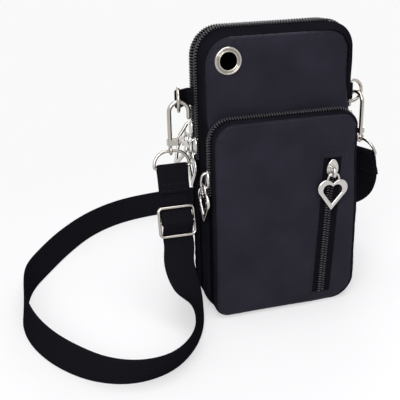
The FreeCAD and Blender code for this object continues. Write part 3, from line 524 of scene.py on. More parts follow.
def stitch(length, thick):
    """One stitch: a short thread, thickest in the middle and sunk at both ends."""
    t = np.linspace(-1, 1, 5)
    path = np.c_[np.zeros(5), 0.9 * thick * t ** 2, t * length / 2]
    return tube(path, thick * np.sqrt(1.05 - t ** 2 * 0.8), 6, lift=(1.0, 0.0, 0.0))


def stitches(points, out, length=2.2, gap=0.9, thick=0.24):
    """A row of stitches along a line, each lying along it with its outer side towards out."""
    run = run_along(points)
    count = max(2, int(run[-1] / (length + gap)))
    at = (np.arange(count) + 0.5) * run[-1] / count
    behind, origins, ahead = (np.stack([np.interp(at + step, run, way) for way in points.T], 1)
                              for step in (-0.2, 0.0, 0.2))
    along = unit(ahead - behind)
    out = unit(np.broadcast_to(out, along.shape))
    return copies(stitch(length, thick), origins, np.cross(along, out), out, along)


def strap_end(word, place, seed):
    """A strap end's fold and the rows of stitches that close it."""
    bar, across, up = place
    outward = np.cross(across, up)
    line = fold_line(60)
    wave = 0.12 * ripple(line[:, 1], 40.0, 14, 6, seed)
    fold = ribbon(hang(place, *line.T) + np.outer(wave, outward), -across)
    piece("strap_fold_" + word, fold, STRAP, "pouch", ("strap_" + word + "_loop",))
    rows = []
    for side in (1, -1):
        for down in (14.6, 10.5):
            ends = bar - up * down + np.outer((-8.6, 8.6), across) + outward * side * (STRAP_T + 0.12)
            rows.append(stitches(ends, outward * side))
    piece("strap_stitches_" + word, together(rows), THREAD, "pouch", ())


strap_end("left", LEFT_END, 3)
strap_end("right", RIGHT_END, 4)
# The sewn tail: down behind the pass, then round the tri-glide's middle bar, out and down from the ring's bar
GLIDE_DOWN = 34.8
TAIL_R = 1.8
a = np.linspace(np.pi, 0, 9)
tail = np.concatenate([[(-0.7, 14.0), (-3.3, 23.5), (-3.3, 27.0), (-2.2, 32.0)],
                       np.c_[TAIL_R * np.cos(a), GLIDE_DOWN + TAIL_R * np.sin(a)],
                       [(1.75, 33.8), (0.9, 31.4)]])
tail_line = hang(LEFT_END, *curve(tail, 50).T)
piece("strap_tail", ribbon(tail_line, (-1.0, 0.0, 0.0)), STRAP, "pouch", ("strap_sewn_tail",))


# Pouch shell
def outline(s, form):
    """Points at shares s of the way round a rounded rectangle on the table, and the way outwards there.

    The line starts at the bottom's middle and runs anticlockwise seen from the front; the last value returned
    is its whole length.
    """
    height, r_left, r_right, low_left, low_right = form
    corners = np.array([(SIDE - low_right, low_right, low_right, -np.pi / 2),
                        (SIDE - r_right, height - r_right, r_right, 0.0),
                        (r_left - SIDE, height - r_left, r_left, np.pi / 2),
                        (low_left - SIDE, low_left, low_left, np.pi)])
    cx, cz, r, start = corners.T[:, :, None]
    angle = start + np.linspace(0, np.pi / 2, 33)
    x = np.r_[0, np.ravel(cx + r * np.cos(angle)), 0]
    z = np.r_[0, np.ravel(cz + r * np.sin(angle)), 0]
    angle = np.r_[-np.pi / 2, angle.ravel(), 1.5 * np.pi]
    run = np.r_[0, np.cumsum(np.hypot(np.diff(x), np.diff(z)))]
    s = np.asarray(s) * run[-1]
    return np.interp(s, run, x), np.interp(s, run, z), np.interp(s, run, angle), run[-1]


def zip_start(end_z, form):
    """The share of the way round at which a zip that ends at a height begins on the right side."""
    r = form[4]
    return (SIDE - r + np.pi / 2 * r + end_z - r) / outline(0.0, form)[3]


def ring(y, inset, form=BODY, tops=None):
    """A band round the pouch: at each row's depth y, the outline drawn in by inset along its normals.

    tops gives each row a height of its own.
    """
    inset = np.asarray(inset)
    rows, cols = inset.shape
    s = np.arange(cols) / cols
    tops = np.full(rows, form[0]) if tops is None else tops
    x, z, angle, length = (np.stack(v) for v in zip(*(outline(s, (top, *form[1:])) for top in tops)))
    depth = np.broadcast_to(np.asarray(y)[:, None] if np.ndim(y) == 1 else y, inset.shape)
    grid = np.stack([x - inset * np.cos(angle), depth, np.maximum(z - inset * np.sin(angle), 0.05)], -1)
    down = np.r_[0, np.cumsum(np.hypot(np.diff(depth.mean(1)), np.diff(inset.mean(1))))]
    uv = np.stack(np.meshgrid(np.append(s, 1) * length[0], down), -1)
    return net(grid, uv, wrap_cols=True)


def heights(form=BODY, cols=COLUMNS):
    """The height of each of a ring's columns above the table, and its distance round the pouch."""
    x, z, angle, length = outline(np.arange(cols) / cols, form)
    return z, np.arange(cols) / cols * length, length


def zip_side(seam_y, zip_y, seed, end_z, form):
    """A tape from its seam to the zip, dipped under the teeth; below the zip's end it closes up to the other.

    Its two sections are given as distances from the zip's middle and under the surface.
    """
    z, s, length = heights(form)
    side = np.sign(seam_y - zip_y)
    a = curve([(3.5, 1.3), (3.3, 0.5), (2.9, 0.3), (2.5, 0.45), (2.3, 0.95), (2.0, 1.45), (0.1, 1.55)], 22)
    b = curve([(3.5, 1.3), (3.3, 0.5), (2.6, 0.05), (1.8, -0.1), (1.0, 0.1), (0.4, 0.6), (0.1, 1.4)], 22)
    share = smooth(z, end_z - 2, end_z + 2)
    depth = zip_y + side * (b[:, :1] + (a - b)[:, :1] * share)
    inset = b[:, 1:] + (a - b)[:, 1:] * share
    inset = inset + 0.1 * ripple(s, length, 40, 9, seed) * (1 - share)
    if side < 0:
        depth, inset = depth[::-1], inset[::-1]
    return ring(depth, inset, form)


def roll(t, depth, sharp=3.0):
    """How far a soft band lies under its crest: depth at both seams, none along the middle."""
    return depth * (1 - (1 - np.abs(2 * t - 1) ** sharp) ** (1 / sharp))


def eased(count):
    """Numbers from 0 to 1 along half a cosine wave."""
    return (1 - np.cos(np.pi * np.linspace(0, 1, count))) / 2


def middle_band(seed):
    """The gusset between the main zips: a narrow roll above their ends, a wide soft one below."""
    z, s, length = heights()
    t = eased(40)
    y = REAR_ZIP_Y - 0.1 + t * (FRONT_ZIP_Y - REAR_ZIP_Y + 0.2)
    off = np.abs(y - DIVIDER_Y)
    raised = np.where(off < 2.3, -0.15 + 0.5 * (off / 2.3) ** 6, 0.35 + 1.2 * smooth(off, 2.3, 2.8))
    soft = -0.2 + roll(t, 1.5)
    share = smooth(z, MAIN_ZIP_END - 2, MAIN_ZIP_END + 2)
    soft = soft[:, None] + 0.15 * ripple(s, length, 45, 12, seed)
    return ring(y, raised[:, None] * share + soft * (1 - share))


def panel_seam(z):
    """The depth of the front panel's seam: well behind its face above the pocket, nearly level below."""
    return FRONT_Y + 0.5 + (PANEL_SEAM_Y - FRONT_Y - 0.5) * smooth(z, POCKET_HEIGHT - 8, POCKET_HEIGHT + 6)


def front_band(seed):
    """The front gusset: a soft roll between its two seams, lower at the front, with faint creases."""
    t = eased(36)[:, None]
    z, s, length = heights()
    y = RIM_SEAM_Y + t * (panel_seam(z) - 0.5 - RIM_SEAM_Y)
    bulge = np.sin(np.pi * t)
    inset = roll(t, 1.5, 3.2) - 0.15 + 0.16 * bulge * ripple(s, length, 60, 14, seed)
    pucker = (0.22 * np.exp(-(1 - t) * 9) + 0.12 * np.exp(-t * 9)) * ripple(s, length, 9, 4, seed + 1)
    sag = -0.5 * (1 - smooth(z, 30, 110)) * bulge
    return ring(y, inset + pucker + sag, BODY, HEIGHT + (FRONT[0] - HEIGHT) * t[:, 0])


def pocket_band(seed):
    """The pocket's gusset from its zip tape to the face's seam, rounded over at the front."""
    z, s, length = heights(POCKET, POCKET_COLUMNS)
    line = curve([(-17.5, 1.3), (-17.75, 0.5), (-18.5, 0.0), (-20.0, -0.2), (-21.3, -0.1), (-22.2, 0.35),
                  (-22.7, 0.95), (-22.5, 1.5), (-21.9, 1.9)], 34)
    t = np.linspace(0, 1, 34)
    inset = line[:, 1:] + (0.22 * np.exp(-np.abs(t - 0.8) * 7))[:, None] * ripple(s, length, 9, 4, seed)
    inset = inset + 0.12 * np.sin(np.pi * t)[:, None] * ripple(s, length, 50, 14, seed + 1)
    return ring(line[:, 0], inset, POCKET)


def spread(count, tight=0.8):
    """Numbers from 0 to 1 that lie closer together at both ends."""
    v = np.linspace(0, 1, count)
    return v - tight * np.sin(2 * np.pi * v) / (2 * np.pi)


def inner(x, z, form):
    """How far a point of a panel lies inside the outline, and the way outwards at the nearest edge."""
    height, r_left, r_right, low_left, low_right = form
    r = np.where(z > height / 2, np.where(x > 0, r_right, r_left), np.where(x > 0, low_right, low_left))
    qx = np.abs(x) - (SIDE - r)
    qz = np.abs(z - height / 2) - (height / 2 - r)
    corner = np.hypot(np.maximum(qx, 0), np.maximum(qz, 0))
    depth = r - corner - np.minimum(np.maximum(qx, qz), 0)
    level = np.where((qx > 0) & (qz > 0), qx / np.maximum(corner, 1e-6), (qx > qz) * 1.0)
    return depth, level


def half_widths(z, inset, form):
    """The panel's width left and right of its middle at a height, inside an outline drawn in by inset."""
    height, r_left, r_right, low_left, low_right = form

    def half(r_top, r_low):
        width = SIDE - inset
        for r, past in ((r_top - inset, z - (height - r_top)), (r_low - inset, r_low - z)):
            width = width - (r - np.sqrt(r ** 2 - np.clip(past, 0, r) ** 2))
        return width

    return half(r_left, low_left), half(r_right, low_right)


def panel_grid(rows, cols, inset, form):
    """Points of a panel in rows across its outline, closer together along its edges."""
    z = inset + (form[0] - 2 * inset) * spread(rows)[:, None]
    left, right = half_widths(z, inset, form)
    x = -left + (left + right) * spread(cols)
    return x, np.broadcast_to(z, x.shape)


def cushion(x, z, form, edge, puff, seed, pucker, lean=0.0):
    """How far a sewn panel stands out of its flat: a rounded edge, puckers at its seam, then a low crown.

    edge holds the rounded edge's depth and how far in from the seam it reaches; lean is how far the panel
    falls back towards its right side.
    """
    deep, reach = edge
    depth, level = inner(x, z, form)
    run = np.maximum(depth - SEAM_IN, 0)
    rise = deep * (np.sqrt(1 - (1 - np.minimum(run / reach, 1)) ** 2) - 1)
    across = level * ripple(z, REPEAT, 9, 4, seed) + (1 - level) * ripple(x, REPEAT, 9, 4, seed + 1)
    top = 0.4 + 0.6 * smooth(z, form[0] - 30, form[0] - 12)
    folds = pucker * top * across * np.exp(-run / 3.0) * smooth(depth, 1.0, 2.2)
    crown = puff * (1 - np.exp(-depth / 15)) - lean * smooth(x, 10, SIDE)
    crown = crown + pucker * top * np.exp(-((run - 1.3) / 0.8) ** 2)
    broad = 0.3 * ripple(x * 0.8 + z * 0.6, REPEAT, 70, 35, seed + 2) * smooth(depth, 2, 25)
    return rise + folds + crown + broad


def front_sheet():
    """The front panel: a cushion with a hole and a shallow dimple at the eyelet."""
    x, z = panel_grid(180, 110, SEAM_IN, FRONT)
    away = np.hypot(x - EYELET[0], z - EYELET[1])
    deep = panel_seam(z) - FRONT_Y
    lean = 4.0 * smooth(z, POCKET_HEIGHT - 4, POCKET_HEIGHT + 20)
    out = cushion(x, z, FRONT, (deep, 6.0), 1.1, 21, 0.6, lean)
    flat = 1 - smooth(away, 9, 24)
    out = out * (1 - flat) + np.minimum(out, -0.05) * flat
    hide = smooth(POCKET_HEIGHT - 2 - z, 0, 6) * 0.9
    middle = (away[:-1, :-1] + away[1:, 1:]) / 2
    return sheet(x, FRONT_Y - out + hide, z, middle > EYELET_HOLE)


def back_sheet():
    """The back panel: a plain cushion, seen from behind."""
    x, z = panel_grid(120, 80, SEAM_IN, BODY)
    y = REAR_Y + cushion(x, z, BODY, (1.5, 3.0), 1.0, 31, 0.25)
    return turned(sheet(x, y, z))


def back_edge(seed):
    """The back panel's turned edge, from its face into the seam with the rear tape."""
    z, s, length = heights()
    line = curve([(24.3, 1.9), (24.9, 1.3), (25.0, 0.7), (24.7, 0.15), (24.3, 0.2), (24.0, 0.9)], 20)
    inset = line[:, 1:] + 0.12 * ripple(s, length, 9, 4, seed)
    return ring(line[:, 0], inset)


def slit_span(x, z):
    """Where a point lies from the slit's middle: across it and along it."""
    right, up = SLIT_RISE
    middle = (SLIT_TOP + SLIT_LOW) / 2
    x, z = x - middle[0], z - middle[1]
    return x * up - z * right, x * right + z * up


def pocket_level(x, z):
    """The pocket face's depth at a point, drawn in towards the slit and sunk at its lips and stitch line.

    The second value is how far the point lies from the slit.
    """
    across, along = slit_span(x, z)
    beside = np.abs(across) - SLIT_W / 2
    beyond = np.abs(along + SLIT_SHUT / 2) - (SLIT_L - SLIT_SHUT) / 2
    clear = np.hypot(np.maximum(beside, 0), np.maximum(beyond, 0)) + np.minimum(np.maximum(beside, beyond), 0)
    out = cushion(x, z, POCKET, (3.0, 5.0), 1.6, 41, 0.6, 2.2)
    near = np.exp(-np.maximum(clear, 0) / 6.0)
    out = out - np.maximum(out, 0) * near
    lip = 1.5 * np.exp(-np.maximum(clear, 0) / 0.8) + 0.35 * np.exp(-((clear - SLIT_HEM) / 0.6) ** 2)
    return FACE_Y - out + lip, clear


def pocket_sheet():
    """The pocket face: rows that follow the slanted slit, with its opening left out and its lips sunk."""
    ends = np.array([-1.5, -0.8, -0.4, -0.1, 0.15, 0.5, 1.0, 1.8])
    z = np.r_[SEAM_IN + (POCKET_HEIGHT - 2 * SEAM_IN) * spread(130), SLIT_TOP[1] - SLIT_SHUT + ends,
              SLIT_LOW[1] - ends]
    z = np.sort(z)[:, None]
    left_half, right_half = half_widths(z, SEAM_IN, POCKET)
    line = SLIT_LOW[0] + (z - SLIT_LOW[1]) * (SLIT_TOP[0] - SLIT_LOW[0]) / (SLIT_TOP[1] - SLIT_LOW[1])
    free = smooth(z, SLIT_TOP[1] + 4, POCKET_HEIGHT - 2) + 1 - smooth(z, 2, SLIT_LOW[1] - 2)
    line = line * (1 - free) + 0.6 * right_half * free
    reach = (SLIT_W / 2 + 5.2) * (1 - 0.3 * free)
    lip = SLIT_W / 2 + np.array([0.0, 0.2, 0.4, 0.7, 1.1, 1.7, 2.5, 3.7, 5.2])
    q = np.r_[-lip[::-1], np.linspace(-0.7, 0.7, 5) * SLIT_W / 2, lip] / lip[-1]
    left, right = line - reach, line + reach
    x = np.concatenate([-left_half + (left + left_half) * spread(56, 0.7)[:-1],
                        line + reach * q,
                        right + (right_half - right) * spread(16, 0.6)[1:]], 1)
    z = np.broadcast_to(z, x.shape)
    y, clear = pocket_level(x, z)
    inside = (clear[:-1, :-1] + clear[1:, 1:] + clear[1:, :-1] + clear[:-1, 1:]) / 4 < -0.05
    return sheet(x, y, z, ~inside)


def fuller(part):
    """The worn body above the pocket: its gusset swells out at the right side and, less, along the top."""
    points, faces, flat = part
    x, y, z = points.T
    swell = smooth(y, PANEL_SEAM_Y, 1.0) * (1 - 0.5 * smooth(y, RIM_SEAM_Y, REAR_Y))
    right = smooth(z, 116, 140) * smooth(x, 0, SIDE) * (1.0 + 4.2 * swell)
    top = smooth(z, 150, HEIGHT) * (0.4 + 1.2 * swell)
    return np.c_[x + right, y, z + top], faces, flat


def lower_right(part):
    """The filled pocket: its right side stands out a little below its middle."""
    points, faces, flat = part
    x, y, z = points.T
    swell = 1.9 * smooth(x, 15, SIDE) * (1 - smooth(z, 60, 110)) * smooth(z, 0, 15)
    return np.c_[x + swell, y, z], faces, flat


# Cloth from back to front: piece, part, material, body, node and thickness. Tapes and binding have no lining.
for name, part, cloth, body, node, wall in (
        ("back_shell", fuller(back_sheet()), SHELL, "rear_cover", "back_panel", 0.8),
        ("back_binding", fuller(back_edge(33)), GUSSET, "rear_cover", None, TAPE_T),
        ("rear_tape", fuller(zip_side(BACK_SEAM_Y, REAR_ZIP_Y, 51, *MAIN_ZIP)), TAPE, "rear_cover",
         "rear_zip_tape", TAPE_T),
        ("gusset_between_zips", fuller(middle_band(61)), GUSSET, "pouch", "middle_gusset", 0.6),
        ("front_tape", fuller(zip_side(RIM_SEAM_Y, FRONT_ZIP_Y, 52, *MAIN_ZIP)), TAPE, "front_cover",
         "front_zip_tape", TAPE_T),
        ("front_gusset", fuller(front_band(71)), GUSSET, "front_cover", "front_rim", 0.7),
        ("front_shell", fuller(front_sheet()), SHELL, "front_cover", "front_panel", 0.7),
        ("pocket_tape_rear", zip_side(FRONT_Y, POCKET_ZIP_Y, 53, *POCKET_ZIP), TAPE, "front_cover",
         "pocket_zip_tape_rear", TAPE_T),
        ("pocket_tape_front", lower_right(zip_side(POCKET_SEAM_Y, POCKET_ZIP_Y, 54, *POCKET_ZIP)), TAPE,
         "pocket_cover", "pocket_zip_tape_front", TAPE_T),
        ("pocket_gusset", lower_right(pocket_band(81)), GUSSET, "pocket_cover", None, 0.6),
        ("pocket_shell", lower_right(pocket_sheet()), SHELL, "pocket_cover", "pocket_face", 0.7)):
    piece(name, part, cloth, body, (node,) if node else (), wall, LINING if wall > TAPE_T else None)


# Zip coils
def tooth():
    """One turn of a zip coil on one side: a slanted bar that rises from the tape and dips at its head."""
    path = curve([(2.2, 1.3, -0.36), (2.1, 0.1, -0.3), (1.4, -0.45, -0.1), (0.65, -0.42, 0.14),
                  (0.15, 0.3, 0.3)], 6)
    return tube(path, [0.3, 0.38, 0.4, 0.4, 0.38, 0.3], 7, lift=(0.0, 0.0, 1.0))


def round_coil(zip_y, side, end_z, form, shift):
    """A row of teeth round the pouch's top, from the zip's end on one side to its end on the other."""
    length = outline(0.0, form)[3]
    low = zip_start(end_z, form)
    count = int((1 - 2 * low) * length / TOOTH_PITCH)
    x, z, angle, length = outline(low + (np.arange(count) + shift) * TOOTH_PITCH / length, form)
    flat = np.zeros_like(x)
    out = np.stack([np.cos(angle), flat, np.sin(angle)], 1)
    along = np.stack([-np.sin(angle), flat, np.cos(angle)], 1)
    origins = np.stack([x, np.full_like(x, zip_y), z], 1) + out * CHAIN_OUT
    part = copies(tooth(), origins, (0.0, side, 0.0), out, along)
    return part if side < 0 else turned(part)


def slit_coil(side, shift):
    """A row of teeth along the slanted slit."""
    right, up = SLIT_RISE
    count = int(SLIT_L / TOOTH_PITCH) - 1
    at = SLIT_LOW + np.outer((np.arange(count) + shift + 0.5) * TOOTH_PITCH, SLIT_RISE)
    origins = np.c_[at[:, 0], np.full(count, SLIT_CHAIN_Y), at[:, 1]]
    part = copies(tooth(), origins, side * np.array([up, 0, -right]), (0.0, -1.0, 0.0), (right, 0, up))
    return part if side > 0 else turned(part)


def slit_tape(side, seed):
    """A tape of the slit zip: flat behind the pocket face, dipping under the teeth."""
    right, up = SLIT_RISE
    w = curve([(0.1, 1.5), (1.6, 1.4), (2.3, 0.7), (3.2, 0.45), (5.5, 0.4), (8.0, 0.5), (10.3, 0.6)], 26)
    v = np.linspace(-1.2, SLIT_L + 1.2, 70)
    wave = 0.14 * ripple(v, REPEAT, 26, 9, seed)[:, None] * smooth(w[:, 0], 2.5, 6)
    x = SLIT_LOW[0] + side * w[:, 0] * up + v[:, None] * right
    z = SLIT_LOW[1] - side * w[:, 0] * right + v[:, None] * up
    y = SLIT_CHAIN_Y + 0.35 + w[:, 1] + wave
    uv = np.stack(np.meshgrid(w[:, 0], v), -1)
    part = net(np.stack([x, y, z], -1), uv)
    return part if side > 0 else turned(part)


for word, row, zip_y, side, body in (
        ("rear", "outer", REAR_ZIP_Y, 1, "rear_cover"),
        ("rear", "inner", REAR_ZIP_Y, -1, "pouch"),
        ("front", "inner", FRONT_ZIP_Y, 1, "pouch"),
        ("front", "outer", FRONT_ZIP_Y, -1, "front_cover"),
        ("pocket", "rear", POCKET_ZIP_Y, 1, "front_cover"),
        ("pocket", "front", POCKET_ZIP_Y, -1, "pocket_cover")):
    shift = 0.5 if side > 0 else 1.0
    if word == "pocket":
        part = round_coil(zip_y, side, *POCKET_ZIP, shift)
    else:
        part = fuller(round_coil(zip_y, side, *MAIN_ZIP, shift))
    piece(word + "_coil_" + row, part, TEETH, body, (word + "_zip_teeth_" + row,))
for word, side, shift in (("left", -1, 0.0), ("right", 1, 0.5)):
    piece("slit_coil_" + word, slit_coil(side, shift), TEETH, "pocket_cover", ("slit_zip_teeth_" + word,))
    # The slit's tapes take the lighter copy of the tape colour, which is painted light.
    piece("slit_tape_" + word, slit_tape(side, 90 + side), LIT_SLIT_TAPE, "pocket_cover",
          ("slit_zip_tape_" + word,), TAPE_T)


# Sliders and heart pulls
def lathe(profile, squeeze):
    """A closed plate: a profile of (share of the outline, depth) carried round an outline of (x, z)."""
    profile = np.asarray(profile)
    grid = np.stack([profile[:, :1] * squeeze[None, :, 0], np.repeat(profile[:, 1:], len(squeeze), 1),
                     profile[:, :1] * squeeze[None, :, 1]], -1)
    return net(grid, wrap_cols=True, caps=True)


def zip_slider(half, crest):
    """A cast slider: a dished egg-shaped plate with a rim, a plate under the teeth, a neck and a bridge.

    half is half its width, and crest how far up its plate the bridge reaches.
    """
    a = turns(40)
    egg = np.c_[half * np.cos(a) * (1 - 0.16 * np.sin(a)), 5.8 * np.sin(a)]
    top = lathe([(0.03, -1.0), (0.45, -1.0), (0.66, -1.05), (0.8, -1.45), (0.9, -1.5), (0.98, -1.15),
                 (1.0, -0.7), (0.97, -0.35), (0.85, -0.25), (0.03, -0.25)], egg)
    under = lathe([(0.03, 2.5), (0.9, 2.5), (0.98, 2.8), (0.98, 3.1), (0.9, 3.4), (0.03, 3.4)], egg * 0.92)
    neck = tube([(0, -0.6, 4.2), (0, 1.2, 4.1), (0, 3.0, 4.2)], [0.7, 0.4, 0.7], 8, lift=(0.0, 0.0, 1.0))
    out = np.array([-0.9, -2.6, -4.2, -5.0, -5.2, -4.8, -3.2, -1.0])
    rise = np.r_[np.array([7.5, 7.4, 6.1, 3.4, 0.6]) * (crest + 3.2) / 7.5 - 3.2, -4.4, -5.3, -5.0]
    arch = curve(np.c_[np.zeros(8), out, rise], 32)
    wide = np.interp(np.linspace(0, 1, 32), [0, 0.2, 0.55, 0.85, 1], [1.5, 1.15, 0.95, 1.25, 1.5])
    bridge = tube(arch, wide, 12, 0.55, lift=np.cross(unit(np.gradient(arch, axis=0)), (1.0, 0.0, 0.0)))
    return together([top, under, neck, bridge])


# Heart pulls: the lobes' distance under the pin, thickness, the hole's share of the outline, bail's radius
HEART_HANG = 9.1
HEART_T = 2.1
HEART_HOLE = 0.62
BAIL_R = 0.72


def heart_half(scale):
    """Half a heart from tip to notch: a straight side, then the lobe's arc, scaled about its middle."""
    cx, r, tip, drop = 4.7, 5.6, 14.9, 3.2
    start = np.arctan2(-tip, -cx) + np.arccos(r / np.hypot(cx, tip))
    stop = np.arctan2(np.sqrt(r * r - cx * cx), -cx)
    side = np.linspace(0, 1, 16, endpoint=False)[:, None]
    a = np.linspace(start, stop, 30)
    lobe = np.c_[cx + r * np.cos(a), r * np.sin(a)]
    half = np.concatenate([(1 - side) * (0, -tip) + side * lobe[0], lobe])
    return np.c_[half[:, 0] * scale, (half[:, 1] + drop) * scale - drop]


def heart_pull():
    """A fat open heart, whose section is a rounded bar between two outlines, and the bail over its lobes."""
    halves = (heart_half(1.0), heart_half(HEART_HOLE))
    outer, hole = (np.concatenate([half, half[-2:0:-1] * (-1, 1)]) for half in halves)
    a = turns(20)
    c, d = (np.sign(v) * np.abs(v) ** 0.7 for v in (np.cos(a), np.sin(a)))
    middle, reach = (outer + hole) / 2, (outer - hole) / 2
    flat = middle[:, None] + reach[:, None] * c[None, :, None]
    deep = np.broadcast_to(HEART_T / 2 * d, flat.shape[:2])
    heart = net(np.stack([flat[..., 0], deep, flat[..., 1] - HEART_HANG], -1), wrap_rows=True, wrap_cols=True)
    right = np.array([(1.6, 0, 0.1), (2.9, 0, -0.5), (3.7, 0, -2.4), (4.3, 0, -4.6)])
    wire = curve(np.concatenate([right[::-1] * (-1, 1, 1), [(0, 0, 0.1)], right]), 40)
    return together([heart, tube(wire, BAIL_R, 10)])


def tilted(part, degrees):
    """A pull swung outwards about its slider's pin."""
    a = np.radians(degrees)
    x, y, z = part[0].T
    return np.c_[x, y * np.cos(a) + z * np.sin(a), z * np.cos(a) - y * np.sin(a)], part[1], part[2]


# A pull's pin on its slider, and how far the slit's slider sits below the slit's top
PIN = np.array([0.0, -3.4, -3.5])
SLIT_SLIDER_DOWN = 8.0
slit_up = np.array([SLIT_RISE[0], 0, SLIT_RISE[1]])
slit_place = np.array([SLIT_TOP[0], SLIT_CHAIN_Y, SLIT_TOP[1]]) - slit_up * SLIT_SLIDER_DOWN
# Each slider's place, ways across and up, its pull's tilt, half its width and how far up its bridge reaches
hung = [(word, (-SIDE - CHAIN_OUT, y, z), (0, -1, 0), (0, 0, 1), tilt, 3.4, 4.3)
        for word, y, z, tilt in (("rear", REAR_ZIP_Y, 117.0, 24.0), ("front", FRONT_ZIP_Y, 107.5, 0.0),
                                 ("pocket", POCKET_ZIP_Y, 93.0, 0.0))]
hung.append(("slit", slit_place, (slit_up[2], 0, -slit_up[0]), slit_up, 0.0, 4.0, 0.4))
for word, place, across, up, tilt, half, crest in hung:
    points, faces, flat = tilted(heart_pull(), tilt)
    for name, part, body in (("_zip_slider", zip_slider(half, crest), "_slider"),
                             ("_heart", (points + PIN, faces, flat), "_pull")):
        part = copies(part, [place], across, np.cross(across, up), up)
        piece(word + name, part, SILVER, word + body, (word + body,))


# Eyelet, side tabs, linings and stitches
def eyelet_ring():
    """The eyelet: a rolled flange with a step and the tube's turned edge, carried round its axis."""
    profile = curve([(8.5, -0.1), (8.45, -0.6), (8.0, -1.05), (7.35, -1.1), (6.85, -0.5), (6.5, -0.45),
                     (6.15, -1.0), (5.7, -1.05), (5.35, -0.7), (5.3, 0.4), (5.3, 2.4), (6.1, 2.5), (6.2, 0.6),
                     (6.3, 0.0)], 44)
    a = turns(64)
    grid = np.stack([EYELET[0] + profile[:, :1] * np.cos(a), np.repeat(FRONT_Y + profile[:, 1:], len(a), 1),
                     EYELET[1] + profile[:, :1] * np.sin(a)], -1)
    return net(grid, wrap_rows=True, wrap_cols=True)


def side_tab(side, bend, ring_out, ring_y, z):
    """A webbing tab: out of the gusset, round the D-ring's bar and back, its two layers pressed together."""
    ring_at = np.array([ring_out, ring_y])
    along = unit(ring_at - (bend, DIVIDER_Y))
    normal = np.array([-along[1], along[0]])
    a = np.linspace(np.pi / 2, -np.pi / 2, 11)
    wrap = ring_at + TAB_TURN * (np.outer(np.cos(a), along) + np.outer(np.sin(a), normal))
    meet = ring_at - along * 3.6
    behind, ahead = DIVIDER_Y + TAB_LAYER, DIVIDER_Y - TAB_LAYER
    outer = [(-1.4, behind), (2.0, behind), (bend, DIVIDER_Y + 0.5), meet + normal * 0.55]
    back = [meet - normal * 0.55, (bend - 0.4, DIVIDER_Y - 0.5), (2.0, ahead), (-1.4, ahead)]
    line = curve(np.concatenate([outer, wrap, back]), 60)
    middle = np.c_[side * (SIDE + line[:, 0]), line[:, 1], np.full(60, z)]
    loop = ribbon(middle, (0.0, 0.0, 1.0), TAB_W, TAB_T)
    rows = []
    for face in (1, -1):
        y = DIVIDER_Y + face * (TAB_LAYER + 0.55)
        for out in (1.6, 4.4):
            ends = np.array([(side * (SIDE + out), y, z + d) for d in (-4.6, 4.6)])
            rows.append(stitches(ends, (0.0, face, 0.0), 1.8, 0.7, 0.2))
    return loop, together(rows)


piece("eyelet_ring", eyelet_ring(), NICKEL, "front_cover", ("eyelet",))
for word, *form in (("left", -1, 5.0, 11.6, 11.6, 139.0), ("right", 1, 4.6, 10.6, 12.0, 134.0)):
    loop, rows = side_tab(*form)
    piece(word + "_webbing_tab", loop, STRAP, "pouch", (word + "_tab",))
    piece(word + "_tab_stitches", rows, THREAD, "pouch", ())


def divider_sheet():
    """The lining wall between the two main compartments, slack and slightly wavy."""
    x, z = panel_grid(60, 44, 1.8, BODY)
    loose = smooth(inner(x, z, BODY)[0], 2, 20)
    y = DIVIDER_Y - 0.4 + 0.5 * loose * ripple(x + 0.5 * z, REPEAT, 60, 25, 15)
    return sheet(x, y, z)


def slit_bag():
    """The flat bag behind the slit: a soft tray that swells a little away from the pocket face."""
    u, v = np.meshgrid(spread(44, 0.85), spread(60, 0.85))
    wide, tall = 63.5, 102.0
    x, z = -22.0 + wide * u, 5.0 + tall * v
    edge = np.minimum(np.minimum(u, 1 - u) * wide, np.minimum(v, 1 - v) * tall)
    wave = 0.25 * ripple(x + 0.7 * z, REPEAT, 50, 20, 16) * smooth(edge, 2, 15)
    y = -23.3 + 4.6 * (1 - np.exp(-edge / 3.0)) + wave
    return turned(sheet(x, y, z))


piece("divider_lining", fuller(divider_sheet()), LINING, "pouch", ("divider",), 0.7)
piece("slit_bag_lining", slit_bag(), LINING, "pocket_cover", ("slit_pocket_bag",), 0.5)

# Stitches up one side of the slit, over its top and down the other, a hem's width away from its lips
slit_frame = []
over = SLIT_RISE[::-1] * (1, -1) * (SLIT_W / 2 + SLIT_HEM)
slit_head = SLIT_TOP + SLIT_RISE * SLIT_HEM
corners = [SLIT_LOW - over, slit_head - over, slit_head + over, SLIT_LOW + over]
for a, b in zip(corners, corners[1:]):
    line = a + np.linspace(0, 1, 60)[:, None] * (b - a)
    level = pocket_level(line[:, 0], line[:, 1])[0]
    slit_frame.append(stitches(np.c_[line[:, 0], level - 0.1, line[:, 1]], (0.0, -1.0, 0.0), 2.1, 0.9, 0.22))
piece("slit_stitches", together(slit_frame), THREAD, "pocket_cover", ())


# Gusset cloth below the zips' ends, folded flat while the pouch is shut
def bellows(name, zip_y, end_z, form, first, second, way):
    """A strip under the surface, from one zip end round the bottom to the other.

    The arguments first, second and way are not used.
    """
    reach = zip_start(end_z, form)
    x, z, angle, length = outline(np.mod(np.linspace(-reach, reach, 150), 1.0), form)
    y = zip_y + np.linspace(2.0, -2.0, 13)
    y, inset = np.r_[y, y[::-1]], np.r_[np.full(13, 2.3), np.full(13, 2.7)]
    grid = np.stack([x[:, None] - inset * np.cos(angle)[:, None], np.broadcast_to(y, (150, 26)),
                     z[:, None] - inset * np.sin(angle)[:, None]], -1)
    strip = piece(name, net(grid, wrap_cols=True, caps=True), GUSSET, None, ())
    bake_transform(strip)


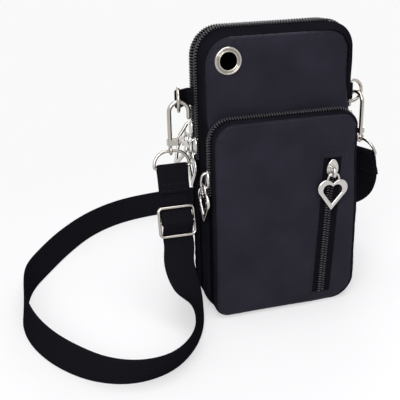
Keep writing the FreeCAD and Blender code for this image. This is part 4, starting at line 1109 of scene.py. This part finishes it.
bellows("rear_gusset_fold", REAR_ZIP_Y, *MAIN_ZIP, "pouch", "rear_cover", -1)
bellows("front_gusset_fold", FRONT_ZIP_Y, *MAIN_ZIP, "pouch", "front_cover", 1)
bellows("pocket_gusset_fold", POCKET_ZIP_Y, *POCKET_ZIP, "front_cover", "pocket_cover", 1)

# Hardware kept from the frame: bent wire and cast parts, all nickel plated
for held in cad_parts.values():
    if not held.hide_render:
        held.data.materials.clear()
        held.data.materials.append(NICKEL)

bpy.context.scene.view_settings.view_transform = "Standard"


# Floor and light: white paper that fades into an even white away from the object and keeps its shadow
def seen_directly(tree):
    """1 for rays from the camera and from shiny or clear surfaces, 0 for the light that falls on things."""
    rays = add(tree, "ShaderNodeLightPath").outputs
    shiny = maths(tree, "MAXIMUM", rays["Is Camera Ray"], rays["Is Glossy Ray"])
    return maths(tree, "MAXIMUM", shiny, rays["Is Transmission Ray"])


WHITE = linear("#f9f9fa")
AMBIENT = (0.32, 0.32, 0.33, 1.0)
FLOOR_HALF = 3000.0
FLOOR_Z = -0.02
values = {"Base Color": WHITE, "Roughness": 0.9, "Specular IOR Level": 0.1}
paper, tree, shader = finish("floor_paper", values)
place = add(tree, "ShaderNodeTexCoord").outputs["Object"]
away = add(tree, "ShaderNodeVectorMath", {0: place}, operation="LENGTH").outputs["Value"]
values = {"Value": away, "From Min": 0.12, "From Max": 0.38, "To Min": 0.5, "To Max": 1.0}
fade = add(tree, "ShaderNodeMapRange", values).outputs["Result"]
share = maths(tree, "MULTIPLY", fade, seen_directly(tree))
glow = add(tree, "ShaderNodeEmission", {"Color": WHITE}).outputs["Emission"]
mixed = add(tree, "ShaderNodeMixShader", {"Fac": share, 1: shader.outputs["BSDF"], 2: glow})
tree.links.new(mixed.outputs["Shader"], tree.nodes["Material Output"].inputs["Surface"])
x, y = np.meshgrid(*[np.linspace(-FLOOR_HALF, FLOOR_HALF, 13)] * 2)
floor = piece("floor", net(np.stack([x, y, np.full_like(x, FLOOR_Z)], -1)), paper, None)

world = bpy.data.worlds.new("studio")
bpy.context.scene.world = world
world.use_nodes = True
tree = world.node_tree
shown = between(tree, seen_directly(tree), AMBIENT, WHITE)
tree.links.new(shown, tree.nodes["Background"].inputs["Color"])

# Square area lights that face a point above the table
AIM = np.array([0.0, 0.0, 0.1])
for name, place, size, power in (
        ("front_light", (-0.55, -1.05, 0.8), 0.8, 12),
        ("top_light", (0.0, -0.2, 1.3), 0.9, 8),
        ("back_light", (0.6, 1.1, 0.8), 0.8, 5)):
    light = bpy.data.lights.new(name, "AREA")
    light.size = size
    light.energy = power
    z = unit(place - AIM)
    x = unit(np.cross((0.0, 1.0, 0.001), z))
    stand(show(name, light), x, np.cross(z, x), z, place)
